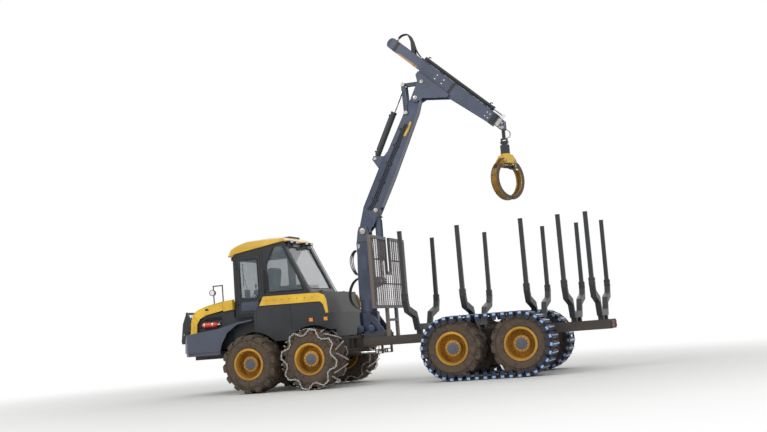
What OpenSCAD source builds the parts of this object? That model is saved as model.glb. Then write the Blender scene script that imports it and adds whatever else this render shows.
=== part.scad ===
// Eight-wheeled forestry forwarder with a slewing telescopic timber crane.
// The front points to -X, the left side to -Y, and the ground is z = 0. All sizes are in millimetres.

/* [Wheels] */
// Rolling radius of the bare front tyre, out to the lugs
tyre_r = 670; // [640:5:690]
// Width of every tyre
tyre_w = 710; // [600:10:730]
// Seat radius of the rim under the tyre bead
rim_r = 336; // [310:2:360]
// Height of a tyre lug
lug_h = 36; // [20:2:50]
// Lugs on each half of a tyre
lug_count = 14; // [10:1:18]
// Distance between the two wheels of a bogie
bogie_pitch = 1500; // [1480:10:1560]
// Distance from the middle of the machine to the middle of a tyre
wheel_y = 1125; // [1110:5:1160]
// Radius of the wheel hub
hub_r = 180; // [150:5:220]
// Thickness of the tyre chain's bars
chain_t = 22; // [16:1:26]
// Width of a bogie track
track_w = 780; // [760:10:800]
// Shoes in one bogie track
shoe_count = 40; // [30:1:42]

/* [Layout] */
// Front end of the machine, at the front guard's lower edge
guard_front_x = -5070; // [-5090:5:-5065]
// Place of the articulation pivot along the machine
pivot_x = -800; // [-820:5:-780]
// Distance from the pivot to the middle of the front bogie
front_bogie_dist = 1480; // [1470:5:1500]
// Distance from the pivot to the middle of the rear bogie
rear_bogie_dist = 3320; // [3200:10:3400]
// Rear end of the rear frame
tail_x = 5070; // [4900:10:5200]
// Top of the rear frame rails
rear_rail_top = 1060; // [1040:5:1080]
// Height of the rear frame rails
rear_rail_h = 200; // [160:5:205]
// Top of the front frame rails
front_rail_top = 1050; // [1040:5:1060]
// Distance from the middle to the middle of a frame rail
rail_y = 340; // [320:5:360]
// Width of a frame rail
rail_w = 140; // [100:5:160]

/* [Cab] */
// Half of the cab's width
cab_half = 850; // [800:10:880]
// Thickness of the cab's walls and door
cab_wall = 60; // [40:5:80]
// Thickness of the window panes
pane_t = 8; // [6:1:12]
// Half of the width of the body behind the cab
deck_half = 1120; // [1080:10:1150]
// Thickness of the yellow side trim
trim_t = 28; // [15:1:40]
// Half of the hood's width
hood_half = 950; // [930:5:980]
// Thickness of the hood's sheet
hood_t = 30; // [20:1:35]
// Half of the width of the front skirt
skirt_half = 1200; // [1150:10:1250]

/* [Load space] */
// Place of the gate's middle plane along the machine
gate_x = 20; // [10:2:40]
// Thickness of the gate's frame
gate_t = 60; // [40:5:64]
// Top of the gate
gate_top = 3350; // [3200:10:3450]
// Half of the gate's width
gate_half = 1290; // [1200:10:1350]
// Upright bars in the gate
gate_bars = 16; // [10:1:20]
// Top of the stakes
stake_top = 3330; // [3000:10:3400]
// Half of the load space's width between the stakes, at their feet
stake_y = 1210; // [1180:5:1240]

/* [Crane] */
// Place of the crane column's axis along the machine
column_x = -530; // [-540:2:-520]
// Height of the boom's foot pin
boom_pin_z = 3540; // [3500:10:3600]
// Length of the main boom between its pins
boom_len = 3350; // [3300:10:3400]
// Angle of the main boom above level
boom_angle = 62.5; // [60:0.5:65]
// Angle of the jib above level
jib_angle = -43; // [-46:1:-40]
// Length of the jib box ahead of its pivot
jib_reach = 1850; // [1800:10:1950]
// Length of the jib box behind its pivot
jib_tail = 1330; // [1250:10:1400]
// Height of the jib box's middle above its pivot
jib_rise = 640; // [630:5:660]
// Wall of the jib box
jib_wall = 14; // [10:1:20]
// Radius of the lift cylinder's barrel
lift_barrel_r = 80; // [70:1:84]
// Radius of the lift cylinder's rod
lift_rod_r = 42; // [35:1:50]
// Radius of the jib cylinder's barrel
jib_barrel_r = 68; // [55:1:72]
// Radius of the jib cylinder's rod
jib_rod_r = 36; // [28:1:42]
// Drop from the tip pin to the cross pin of the rotator
link_drop = 330; // [300:5:360]
// Outer radius of the closed claws
claw_r = 470; // [450:5:490]
// Depth of a claw's curved arm
claw_depth = 85; // [70:5:100]

/* [Hidden] */
$fn = 48;

// Running gap between a pin and its bore, and between curved faces that meet
gap = 0.3;
// Side gap between an eye and the ears beside it
ear_gap = 1;
// Colours
crane_blue = [0.29, 0.33, 0.43];
body_dark = [0.13, 0.15, 0.20];
body_black = [0.06, 0.06, 0.07];
yellow = [0.96, 0.74, 0.12];
ochre = [0.85, 0.58, 0.12];
rubber = [0.09, 0.08, 0.08];
steel = [0.55, 0.56, 0.58];
chrome = [0.80, 0.81, 0.83];
gate_grey = [0.42, 0.45, 0.52];
track_dark = [0.12, 0.16, 0.24];
glass_tint = [0.55, 0.65, 0.70, 0.4];

front_bogie_x = pivot_x - front_bogie_dist;
rear_bogie_x = pivot_x + rear_bogie_dist;
chained_r = tyre_r + chain_t;
track_inner_r = tyre_r - 4;
track_t = 34;
tracked_r = track_inner_r + track_t;
// Front wheels: place along the machine, height of the centre
front_wheel = [front_bogie_x - bogie_pitch / 2, tyre_r];
mid_wheel = [front_bogie_x + bogie_pitch / 2, chained_r];
rear_wheels = [for (s = [-1, 1]) [rear_bogie_x + s * bogie_pitch / 2, tracked_r]];
wheel_half = tyre_w / 2;
bogie_y0 = 480;
bogie_y1 = 700;
rim_half = wheel_half - 45;
rim_lip = 26;
rim_wall = 20;
disc_half = 20;

// Crane points in the vertical plane of the boom: [x, z]
boom_pin = [column_x + 40, boom_pin_z];
function turn(p, a) = [p[0] * cos(a) - p[1] * sin(a), p[0] * sin(a) + p[1] * cos(a)];
function on_boom(p) = boom_pin + turn(p, boom_angle);
knuckle = on_boom([boom_len, 0]);
function on_jib(p) = knuckle + turn(p, jib_angle);
// Pins of the lift cylinder
lift_top = boom_pin + [350, 460];
lift_foot = boom_pin + [350, -1190];
lift_top_local = turn(lift_top - boom_pin, -boom_angle);
// Pins of the jib cylinder and its two links, in the boom's own frame
jib_cyl_foot = on_boom([1684, 400]);
link_pin = on_boom([boom_len + 185, 420]);
rocker_pin = on_boom([boom_len - 400, 90]);
jib_lever = on_boom([boom_len + 400, 0]);
jib_lever_local = turn(jib_lever - knuckle, -jib_angle);
// Tip of the telescope, where the grapple hangs
tele_out = 240;
tip_pin = on_jib([jib_reach + tele_out, jib_rise]);

// Extrudes an outline given in X and Z between two places across the machine
module side_prism(points, y0, y1) {
    translate([0, y1, 0])
        rotate([90, 0, 0])
            linear_extrude(y1 - y0)
                polygon(points);
}

// Extrudes an outline given in X and Y between two heights
module plan_prism(points, z0, z1) {
    translate([0, 0, z0])
        linear_extrude(z1 - z0)
            polygon(points);
}

// Extrudes an outline given in Y and Z between two places along the machine
module front_prism(points, x0, x1) {
    translate([x0, 0, 0])
        rotate([90, 0, 90])
            linear_extrude(x1 - x0)
                polygon(points);
}

// Box from its lowest to its highest corner
module box(lo, hi) {
    translate(lo)
        cube(hi - lo);
}

// Round bar along Y at a point [x, z]
module y_bar(p, r, y0, y1) {
    translate([p[0], y1, p[1]])
        rotate([90, 0, 0])
            cylinder(h = y1 - y0, r = r);
}

// Round bar between any two points
module bar(p, q, r) {
    d = q - p;
    len_xy = norm([d[0], d[1]]);
    translate(p)
        rotate([0, atan2(len_xy, d[2]), atan2(d[1], d[0])])
            cylinder(h = norm(d), r = r);
}

// Both sides of the machine
module both_sides() {
    children();
    mirror([0, 1, 0])
        children();
}

// Puts local X along the line from p to q in the crane's plane
module along(p, q) {
    translate([p[0], 0, p[1]])
        rotate([0, -atan2(q[1] - p[1], q[0] - p[0]), 0])
            children();
}

module at_boom() {
    translate([boom_pin[0], 0, boom_pin[1]])
        rotate([0, -boom_angle, 0])
            children();
}

module at_jib() {
    translate([knuckle[0], 0, knuckle[1]])
        rotate([0, -jib_angle, 0])
            children();
}

// Round bar along local X
module x_bar(x0, x1, r) {
    translate([x0, 0, 0])
        rotate([0, 90, 0])
            cylinder(h = x1 - x0, r = r);
}

// Wheels

// Toothed outline: each lug has a foot, a top and a space
function lug_points(r0, r1, n, turn_by) = [
    for (i = [0:n - 1])
        for (step = [[r0, 0.0], [r1, 0.10], [r1, 0.42], [r0, 0.52]])
            let (a = turn_by + (i + step[1]) * 360 / n)
                step[0] * [cos(a), sin(a)]
];

// Side of a tyre from the tread's edge in to the bead, drawn across the wheel
carcass_drop = 30;
function tyre_section(r) = [
    [rim_r + gap, -rim_half + 0.5],
    [rim_r + rim_lip + 6, -rim_half + 0.5],
    [(r + rim_r) / 2, -wheel_half],
    [r - carcass_drop, -wheel_half + 55],
    [r - carcass_drop, wheel_half - 55],
    [(r + rim_r) / 2, wheel_half],
    [rim_r + rim_lip + 6, rim_half - 0.5],
    [rim_r + gap, rim_half - 0.5]
];

module tyre(lugs) {
    base_r = tyre_r - lug_h;
    color(rubber)
        rotate([90, 0, 0])
            union() {
                rotate_extrude($fn = 36)
                    polygon(tyre_section(lugs ? base_r + carcass_drop : track_inner_r - gap + carcass_drop));
                if (lugs)
                    for (side = [-1, 1])
                        difference() {
                            translate([0, 0, side < 0 ? -wheel_half + 55 : 0])
                                linear_extrude(wheel_half - 55)
                                    polygon(
                                        lug_points(base_r - 10, tyre_r, lug_count, side * 90 / lug_count)
                                    );
                            translate([0, 0, -wheel_half])
                                cylinder(h = tyre_w, r = base_r - 60);
                        }
            }
}

// Rim with a deep dish and the drive hub; the dish opens to the side given
module rim(side) {
    color(ochre)
        scale([1, side, 1])
            rotate([-90, 0, 0])
                rotate_extrude()
                    polygon([
                        [0, -disc_half],
                        [rim_r - rim_wall, -disc_half],
                        [rim_r - rim_wall, -rim_half - 20],
                        [rim_r + rim_lip, -rim_half - 20],
                        [rim_r + rim_lip, -rim_half],
                        [rim_r, -rim_half],
                        [rim_r, rim_half],
                        [rim_r + rim_lip, rim_half],
                        [rim_r + rim_lip, rim_half + 20],
                        [rim_r - rim_wall, rim_half + 20],
                        [rim_r - rim_wall, disc_half],
                        [hub_r + 40, disc_half + 40],
                        [hub_r, disc_half + 60],
                        [hub_r, disc_half + 190],
                        [hub_r - 20, disc_half + 210],
                        [0, disc_half + 210]
                    ]);
}

// Net of chain bars over the tread, held by a zigzag ring on each side
chain_bars = 16;
function zigzag(side, r_out, r_in) = [
    for (k = [0:chain_bars / 2 - 1])
        for (p = [[-0.28, r_out], [0.28, r_out], [0.8, r_in], [1.2, r_in]])
            let (a = (2 * k + (side > 0 ? 1.5 : 0.5) + p[0]) * 360 / chain_bars)
                p[1] * [cos(a), sin(a)]
];
module tyre_chain() {
    bar_r0 = tyre_r + gap;
    ring_z = wheel_half + gap;
    step = 360 / chain_bars;
    color(steel)
        rotate([90, 0, 0])
            union() {
                for (i = [0:chain_bars - 1])
                    rotate([0, 0, i * step])
                        translate([bar_r0, 0, 0])
                            rotate([i % 2 == 0 ? 14 : -14, 0, 0])
                                translate([0, -14, -ring_z * 1.06])
                                    cube([chain_t - 2, 28, ring_z * 2.12]);
                for (side = [-1, 1])
                    translate([0, 0, side < 0 ? -ring_z - 22 : ring_z])
                        linear_extrude(22)
                            difference() {
                                polygon(zigzag(side, tyre_r + chain_t - 4, 560));
                                polygon(zigzag(side, tyre_r - 20, 528));
                            }
            }
}

module place_wheel(at, side) {
    translate([at[0], side * wheel_y, at[1]])
        children();
}

// Point on the track's loop at distance s along it, at radius r about the wheels: [x, z, angle]
function loop_point(s, r) =
    let (arc = PI * r, total = 2 * bogie_pitch + 2 * arc, t = s * total)
    t < bogie_pitch ? [-bogie_pitch / 2 + t, r, 90] :
    t < bogie_pitch + arc ?
        let (a = 90 - (t - bogie_pitch) / r * 180 / PI) [bogie_pitch / 2 + r * cos(a), r * sin(a), a] :
    t < 2 * bogie_pitch + arc ? [bogie_pitch / 2 - (t - bogie_pitch - arc), -r, -90] :
        let (a = -90 - (t - 2 * bogie_pitch - arc) / r * 180 / PI)
            [-bogie_pitch / 2 + r * cos(a), r * sin(a), a];

// The loop at another radius beside the same point, so that a shoe stands square to the loop
function loop_step(s, r0, r) =
    let (p = loop_point(s, r0))
    [p[0] + (r - r0) * cos(p[2]), p[1] + (r - r0) * sin(p[2])];

plate_r = tracked_r - 14;
// Plate and grouser of one shoe: share of its length, and radius
shoe_steps = [[0.05, plate_r], [0.20, tracked_r], [0.50, tracked_r], [0.65, plate_r]];
side_lug_depth = 150;
side_lug_t = 30;

// One fixed loop: plates with a grouser each, and side lugs that hang over the tyre's shoulders
module track(side) {
    color(track_dark)
        translate([rear_bogie_x, side * wheel_y, tracked_r])
            rotate([90, 0, 0])
                union() {
                    translate([0, 0, -track_w / 2])
                        linear_extrude(track_w)
                            difference() {
                                polygon([for (i = [0:shoe_count - 1])
                                    for (step = shoe_steps)
                                        loop_step((i + step[0]) / shoe_count, tracked_r, step[1])]);
                                union() {
                                    for (s = [-1, 1])
                                        translate([s * bogie_pitch / 2, 0])
                                            circle(r = track_inner_r, $fn = 64);
                                    square([bogie_pitch, 2 * track_inner_r], center = true);
                                }
                            }
                    for (z = [-track_w / 2, track_w / 2 - side_lug_t])
                        translate([0, 0, z])
                            linear_extrude(side_lug_t)
                                for (i = [0:shoe_count - 1])
                                    polygon([
                                        loop_step((i + 0.10) / shoe_count, tracked_r, plate_r - 4),
                                        loop_step((i + 0.60) / shoe_count, tracked_r, plate_r - 4),
                                        loop_step(
                                            (i + 0.45) / shoe_count,
                                            tracked_r,
                                            plate_r - side_lug_depth
                                        ),
                                        loop_step(
                                            (i + 0.25) / shoe_count,
                                            tracked_r,
                                            plate_r - side_lug_depth
                                        )
                                    ]);
                }
}

// Bogie pair: cross axle, two beams and a hub housing for each wheel
hub_house_r = 140;
axle_r = 145;
module bogie_set(x, wheels, rail_under) {
    mid_z = (wheels[0][1] + wheels[1][1]) / 2;
    color(body_dark)
        union() {
            y_bar([x, mid_z], axle_r, -bogie_y0 - 20, bogie_y0 + 20);
            box([x - 190, -rail_y - rail_w / 2, mid_z - 60], [x + 190, rail_y + rail_w / 2, rail_under]);
            both_sides() {
                side_prism([
                    [wheels[0][0] - 190, wheels[0][1] - 90],
                    [wheels[0][0] - 90, wheels[0][1] - 190],
                    [x - 300, mid_z - 150],
                    [x - 200, mid_z - 230],
                    [x + 200, mid_z - 230],
                    [x + 300, mid_z - 150],
                    [wheels[1][0] + 90, wheels[1][1] - 190],
                    [wheels[1][0] + 190, wheels[1][1] - 90],
                    [wheels[1][0] + 190, wheels[1][1] + 90],
                    [wheels[1][0] + 90, wheels[1][1] + 170],
                    [wheels[0][0] - 90, wheels[0][1] + 170],
                    [wheels[0][0] - 190, wheels[0][1] + 90]
                ], bogie_y0, bogie_y1);
                for (w = wheels)
                    y_bar(w, hub_house_r, bogie_y1 - 5, wheel_y - disc_half - gap);
            }
        }
}

module rear_rims() {
    for (w = rear_wheels)
        for (side = [-1, 1])
            place_wheel(w, side)
                rim(side);
}

module rear_tyres() {
    for (w = rear_wheels)
        for (side = [-1, 1])
            place_wheel(w, side)
                tyre(false);
}

// Front unit

neck_x = -1200;
pivot_ear_r = 180;
pivot_pin_r = 60;
ear_t = 60;
pivot_low = 790;
front_rail_h = 220;
front_rail_low = front_rail_top - front_rail_h;
front_rail_x0 = -4920;
pivot_high = front_rail_top + 20;
steer_z = 730;
steer_foot_x = pivot_x - 500;
steer_eye_x = pivot_x + 500;
steer_barrel_r = 52;
steer_rod_r = 28;
steer_pin_r = 22;
eye_half = 32;
steer_ear_t = 18;

// Pair of level ears and the web that hangs them under a rail; the web stands towards dir
module steer_ears(x, web, rail_low) {
    z0 = steer_z - eye_half - ear_gap - steer_ear_t;
    z1 = steer_z + eye_half + ear_gap;
    far = x + web + (web > 0 ? 20 : -20);
    near = x - sign(web) * 32;
    for (z = [z0, z1])
        box([min(near, far), rail_y - 65, z], [max(near, far), rail_y + 65, z + steer_ear_t]);
    box([min(x + web, far), rail_y - 65, z0], [max(x + web, far), rail_y + 65, rail_low + 5]);
}

module front_frame() {
    color(body_dark)
        union() {
            both_sides()
                difference() {
                    union() {
                        box(
                            [front_rail_x0, rail_y - rail_w / 2, front_rail_low],
                            [neck_x, rail_y + rail_w / 2, front_rail_top]
                        );
                        steer_ears(steer_foot_x, -75, front_rail_low);
                    }
                    translate([steer_foot_x, rail_y, steer_z - 100])
                        cylinder(h = 190, r = steer_pin_r + gap);
                }
            for (x = [front_rail_x0, front_bogie_x - 260, neck_x - 120])
                box([x, -rail_y, front_rail_low], [x + 120, rail_y, front_rail_top]);
            difference() {
                union() {
                    plan_prism([
                        [neck_x - 10, -rail_y],
                        [pivot_x, -pivot_ear_r],
                        [pivot_x, pivot_ear_r],
                        [neck_x - 10, rail_y]
                    ], pivot_low, pivot_high + ear_t);
                    translate([pivot_x, 0, pivot_low])
                        cylinder(h = pivot_high + ear_t - pivot_low, r = pivot_ear_r);
                }
                translate([pivot_x, 0, pivot_low - 10])
                    cylinder(h = 500, r = pivot_pin_r + gap);
                box([pivot_x - pivot_ear_r - 20, -400, pivot_low + ear_t], [pivot_x + 300, 400, pivot_high]);
            }
        }
}

module front_bogies() {
    bogie_set(front_bogie_x, [front_wheel, mid_wheel], front_rail_low);
}

// Side outline of the skirt, and its plan with cut corners
skirt_front_x = -4990;
module skirt_block(inset) {
    intersection() {
        side_prism([
            [skirt_front_x + 20 + inset, 1010 - (inset > 0 ? 20 : 0)],
            [skirt_front_x + 60 + inset, 1240],
            [-4760 + inset, 1440 - inset],
            [-3860, 1535 - inset],
            [-3390, 1645 - inset],
            [-3000, 1690 - inset],
            [-3000 + (inset > 0 ? 20 : 0), 1660 - inset],
            [-3380, 1600 - inset],
            [-3640, 1430 - inset],
            [-3800, 1180 - inset],
            [-3850, 1010 - (inset > 0 ? 20 : 0)]
        ], -skirt_half + inset, skirt_half - inset);
        plan_prism([
            [skirt_front_x + inset, -780],
            [-4700 + inset, -skirt_half + inset],
            [-2900, -skirt_half + inset],
            [-2900, skirt_half - inset],
            [-4700 + inset, skirt_half - inset],
            [skirt_front_x + inset, 780]
        ], 900, 1800);
    }
}

module front_skirt() {
    color(crane_blue)
        difference() {
            skirt_block(0);
            skirt_block(40);
            // Room for the engine bay's foot between the side panels
            box([-4700, -960, 1300], [-2800, 960, 1800]);
        }
    color(body_black)
        difference() {
            plan_prism([
                [-4960, -770],
                [-4690, -skirt_half + 20],
                [-3860, -skirt_half + 20],
                [-3860, skirt_half - 20],
                [-4690, skirt_half - 20],
                [-4960, 770]
            ], 930, 1012);
            box([front_rail_x0, -rail_y - rail_w / 2, 900], [-3800, rail_y + rail_w / 2, 1100]);
        }
}

guard_half = 780;
module front_guard() {
    color(body_dark)
        union() {
            both_sides() {
                for (y = [250, guard_half - 40])
                    side_prism([
                        [guard_front_x + 180, 2000],
                        [-4770, 1760],
                        [guard_front_x + 220, 1500],
                        [guard_front_x + 225, 1340],
                        [guard_front_x + 140, 1240],
                        [guard_front_x + 10, 1240],
                        [guard_front_x, 1300],
                        [guard_front_x + 60, 1720]
                    ], y, y + 40);
            }
            // Cross bars: place behind the guard's front edge, and height
            for (p = [[80, 1330], [120, 1500], [145, 1670], [170, 1840], [165, 1960]])
                y_bar([guard_front_x + p[0], p[1]], 26, -guard_half + 20, guard_half - 20);
        }
}

module engine() {
    color(steel)
        box([-4450, -420, front_rail_top], [-3750, 420, 1800]);
}

bay_half = 890;
module engine_bay() {
    color(body_black)
        difference() {
            side_prism([
                [-4600, front_rail_top],
                [-3700, front_rail_top],
                [-3580, front_rail_top + 40],
                [-3580, 1960],
                [-3860, 1930],
                [-4300, 1880],
                [-4520, 1780],
                [-4600, 1600]
            ], -bay_half, bay_half);
            side_prism([
                [-4560, 1000],
                [-3620, 1000],
                [-3620, 2000],
                [-4560, 2000]
            ], -bay_half + 40, bay_half - 40);
            // Recess low in each side
            both_sides()
                side_prism(
                    [[-4480, 1560], [-3900, 1600], [-3900, 1840], [-4300, 1800], [-4450, 1720]],
                    bay_half - 25,
                    bay_half + 10
                );
            box([-3900, -rail_y - 120, 1000], [-3500, rail_y + 120, 1300]);
        }
    // Grille bars behind the nose
    color(body_black)
        union() {
            for (z = [1550:55:1850])
                side_prism([
                    [nose_in(z), z],
                    [nose_in(z + 22), z + 22],
                    [nose_in(z + 22) + 18, z + 22],
                    [nose_in(z) + 18, z]
                ], -600, 600);
            for (y = [-420, -140, 140, 420])
                side_prism([
                    [nose_in(1545) + 17, 1545],
                    [nose_in(1690) + 17, 1690],
                    [nose_in(1872) + 17, 1872],
                    [nose_in(1872) + 36, 1872],
                    [nose_in(1690) + 36, 1690],
                    [nose_in(1545) + 36, 1545]
                ], y - 12, y + 12);
        }
}

// Hood shell: a stripe down each side, and a nose with the grille opening
hood_rear_x = -3840;
nose_low = 1446.7;
module hood_shell() {
    difference() {
        side_prism([
            [-4720, nose_low],
            [-4700, 1700],
            [-4640, 1900],
            [-4500, 2020],
            [-4200, 2110],
            [hood_rear_x, 2170],
            [hood_rear_x, nose_low]
        ], -hood_half, hood_half);
        side_prism([
            [-4720 + hood_t, 1400],
            [-4700 + hood_t, 1690],
            [-4640 + hood_t, 1880],
            [-4490, 1990],
            [-4200, 2110 - hood_t],
            [hood_rear_x + 20, 2170 - hood_t],
            [hood_rear_x + 20, 1400]
        ], -hood_half + hood_t, hood_half - hood_t);
        // Below the stripe the sides are open
        side_prism([
            [-4560, 1400],
            [-4540, 1680],
            [-4460, 1800],
            [-4300, 1880],
            [hood_rear_x - 10, 1960],
            [hood_rear_x + 30, 1960],
            [hood_rear_x + 30, 1400]
        ], -hood_half - 10, hood_half + 10);
        // Six-sided grille opening in the nose
        front_prism(
            [[-560, 1700], [-430, 1530], [430, 1530], [560, 1700], [430, 1880], [-430, 1880]],
            -4760,
            -4600
        );
    }
}

hood_hinge = [hood_rear_x + 25, 2135];
module hood() {
    color(yellow)
        union() {
            intersection() {
                hood_shell();
                side_prism(
                    [[-4772, 2051], [-4360, 1580], [-3700, 1580], [-3700, 2400], [-4772, 2400]],
                    -1000,
                    1000
                );
            }
            // Hinge ears under the rear edge
            both_sides()
                difference() {
                    side_prism([
                        [-3910, 2120],
                        [-3860, 2110],
                        hood_hinge + [0, -18],
                        hood_hinge + [18, 0],
                        hood_hinge + [0, 18],
                        [-3850, 2160],
                        [-3910, 2152]
                    ], 780, 810);
                    y_bar(hood_hinge, 10 + gap, 700, 900);
                }
        }
}

// The nose below the hood's lower edge stays on the frame
module hood_nose() {
    intersection() {
        hood_shell();
        side_prism([[-4777, 2046], [-4365, 1575], [-4365, 1400], [-4777, 1400]], -1000, 1000);
    }
}

// Inner face of the nose at a height
function nose_in(z) = gap + (z < 1690 ? -4690 + 20 * (z - 1400) / 290 : -4670 + 60 * (z - 1690) / 190);

rail_frame_y = -700;
rail_top_z = 2560;
// Handrail with its round lamp on top of the hood
module hood_fittings() {
    color(body_black)
        union() {
            for (x = [-4180, -3940])
                bar([x, rail_frame_y, 2110 + (x + 4200) / 6 + 3], [x, rail_frame_y, rail_top_z], 14);
            bar([-4194, rail_frame_y, rail_top_z], [-3926, rail_frame_y, rail_top_z], 14);
            translate([-4180, rail_frame_y - 10, 2400])
                rotate([90, 0, 0])
                    cylinder(h = 60, r = 70);
        }
}

// Cab

// Underside of the cab and top of the body below it share these points
cab_floor_z = 1745;
deck_top = 2195;
cab_front_x = -3570;
sill = [
    [-1640, deck_top], [-2690, deck_top], [-2890, 1945], [-2995, cab_floor_z],
    [cab_front_x, cab_floor_z]
];
cab_top = [[cab_front_x + 20, 3200], [cab_front_x + 90, 3250], [-2240, 3440]];
door_hole = [[cab_front_x + 90, 1830], [-2960, 1830], [-2860, 2010], [-2860, 3170], [cab_front_x + 90, 3170]];
side_window = [[-2700, 2290], [-2700, 2950], [-2480, 3350], [-2270, 3350], [-1960, 2700], [-1800, 2290]];
screen_half = 700;
door_hinge = [cab_front_x + 93, -cab_half - 22];
door_hinge_z = [2100, 2950];
screen_z = [2230, 3130];
back_slope = [[-2240, 3440], [-1640, deck_top]];

// Points on the cab's back wall at a height, stepped in by some distance
back_run = back_slope[1][0] - back_slope[0][0];
back_drop = back_slope[0][1] - back_slope[1][1];
function back_at(z, inset) = [
    back_slope[0][0] + back_run * (back_slope[0][1] - z) / back_drop - inset,
    z
];

module cab_windows_cut() {
    both_sides()
        side_prism(side_window, cab_half - cab_wall - 5, cab_half + 5);
    both_sides()
        side_prism(door_hole, cab_half - cab_wall - 5, cab_half + 5);
    box(
        [cab_front_x - 5, -screen_half, screen_z[0]],
        [cab_front_x + cab_wall + 30, screen_half, screen_z[1]]
    );
    side_prism(
        [
            back_at(3330, cab_wall + 20), back_at(3330, -40), back_at(2300, -40),
            back_at(2300, cab_wall + 20)
        ],
        -screen_half,
        screen_half
    );
}

module cab_frame() {
    color(body_dark)
        difference() {
            side_prism(concat(sill, cab_top), -cab_half, cab_half);
            side_prism([
                [-1640 - cab_wall * 1.2, deck_top + cab_wall],
                [-2690 - 10, deck_top + cab_wall],
                [-2890 - 20, 1945 + cab_wall],
                [-2995 - 30, cab_floor_z + cab_wall],
                [cab_front_x + cab_wall, cab_floor_z + cab_wall],
                [cab_front_x + cab_wall, 3600],
                [-2240 - cab_wall * 1.2 - 80, 3600],
                [-2240 - cab_wall * 1.2, 3440]
            ], -cab_half + cab_wall, cab_half - cab_wall);
            cab_windows_cut();
        }
    // Hinge arms and pins of the door
    color(body_dark)
        for (z = door_hinge_z)
            union() {
                for (low = [z - 40, z + 26])
                    plan_prism([
                        [door_hinge[0] - 35, -cab_half + 1],
                        [door_hinge[0] - 7, -cab_half + 1],
                        [door_hinge[0] - 7, door_hinge[1] + 14],
                        door_hinge + [11, 8],
                        door_hinge + [11, -8],
                        door_hinge + [0, -12],
                        [door_hinge[0] - 35, -cab_half - 12]
                    ], low, low + 14);
                translate([door_hinge[0], door_hinge[1], z - 40])
                    cylinder(h = 80, r = 7);
            }
}

module cab_glass() {
    mid = cab_half - cab_wall / 2;
    color(glass_tint)
        union() {
            both_sides()
                side_prism(side_window, mid, mid + pane_t);
            side_prism(door_hole, mid, mid + pane_t);
            box(
                [cab_front_x + 20, -screen_half, screen_z[0]],
                [cab_front_x + 20 + pane_t, screen_half, screen_z[1]]
            );
            side_prism(
                [
                    back_at(3330, 30 + pane_t), back_at(3330, 30), back_at(2300, 30),
                    back_at(2300, 30 + pane_t)
                ],
                -screen_half,
                screen_half
            );
        }
}

module cab_roof() {
    color(yellow)
        intersection() {
            side_prism([
                [cab_front_x - 90, 3200],
                [cab_front_x, 3360],
                [cab_front_x + 150, 3450],
                [-3150, 3535],
                [-2650, 3575],
                [-2280, 3550],
                [-2190, 3470],
                [-2190, 3440],
                [-2240, 3440],
                [cab_front_x + 90, 3250],
                [cab_front_x + 20, 3200]
            ], -cab_half - 30, cab_half + 30);
            front_prism([
                [-cab_half - 30, 3150],
                [cab_half + 30, 3150],
                [cab_half + 30, 3400],
                [cab_half - 60, 3520],
                [cab_half - 300, 3580],
                [-cab_half + 300, 3580],
                [-cab_half + 60, 3520],
                [-cab_half - 30, 3400]
            ], cab_front_x - 130, -2100);
        }
}

module cab_inside() {
    floor_top = cab_floor_z + cab_wall;
    color(body_black)
        union() {
            // Front console
            side_prism([
                [cab_front_x + cab_wall, floor_top],
                [cab_front_x + 170, floor_top],
                [cab_front_x + 150, 2150],
                [cab_front_x + 110, 2220],
                [cab_front_x + cab_wall, 2220]
            ], -500, 500);
            // Raised shelf behind the seat, over the sill
            box([-2500, -600, deck_top + cab_wall], [-2000, 600, 2420]);
        }
    color(rubber)
        union() {
            translate([-3160, 0, floor_top])
                cylinder(h = 260, r = 110);
            box([-3330, -250, floor_top + 255], [-2900, 250, floor_top + 390]);
            side_prism(
                [
                    [-2970, floor_top + 380], [-2900, floor_top + 380], [-2800, 2860],
                    [-2870, 2900], [-2940, 2860]
                ],
                -240,
                240
            );
            both_sides()
                box([-3290, 270, floor_top + 480], [-2950, 360, floor_top + 560]);
            both_sides()
                box([-3100, 240, floor_top + 300], [-3030, 300, floor_top + 485]);
        }
}

arch_gap = 60;
deck_rear_x = -1120;
module deck() {
    color(body_black)
        difference() {
            union() {
                side_prism(
                    concat(
                        [[-3580, 1150], [deck_rear_x, 1150], [deck_rear_x, 1700], [-1250, deck_top]],
                        [for (p = sill) if (p[0] < -1700) p],
                        [[-3580, cab_floor_z]]
                    ),
                    -deck_half,
                    deck_half
                );
                box([-3500, -rail_y - rail_w / 2, front_rail_top], [neck_x - 20, rail_y + rail_w / 2, 1160]);
            }
            both_sides() {
                y_bar(front_wheel, tyre_r + arch_gap, bogie_y1 - 20, deck_half + 10);
                y_bar(mid_wheel, chained_r + arch_gap, bogie_y1 - 20, deck_half + 10);
                // The skirt's tail lies over the body here
                side_prism([[-3600, 1100], [-2980, 1100], [-2980, 1760], [-3600, 1760]], 955, deck_half + 10);
            }
        }
}

module yellow_trim() {
    color(yellow)
        hood_nose();
    color(yellow)
        both_sides() {
            side_prism([
                [-2810, 1985],
                [-2700, 2190],
                [-1330, 2170],
                [-1200, 2110],
                [-1150, 1990],
                [-1120, 1700],
                [-1180, 1700],
                [-1230, 1900],
                [-1300, 1970]
            ], deck_half, deck_half + trim_t);
            // Block between the hood and the cab
            side_prism([
                [hood_rear_x + 6, 1933.1],
                [-3585, 1959.8],
                [-3585, 2195],
                [hood_rear_x + 40, 2175],
                [hood_rear_x + 6, 2130]
            ], bay_half - 60, hood_half);
            y_bar(hood_hinge, 10, 770, bay_half - 55);
        }
}

module lamps() {
    color(body_black)
        union() {
            for (y = [-660, -400, -140, 140, 400, 660])
                box([cab_front_x - 70, y - 80, 3110], [cab_front_x, y + 80, 3200]);
            for (y = [-620, -300, 300, 620])
                box([-2190, y - 90, 3400], [-2110, y + 90, 3460]);
        }
}

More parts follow.
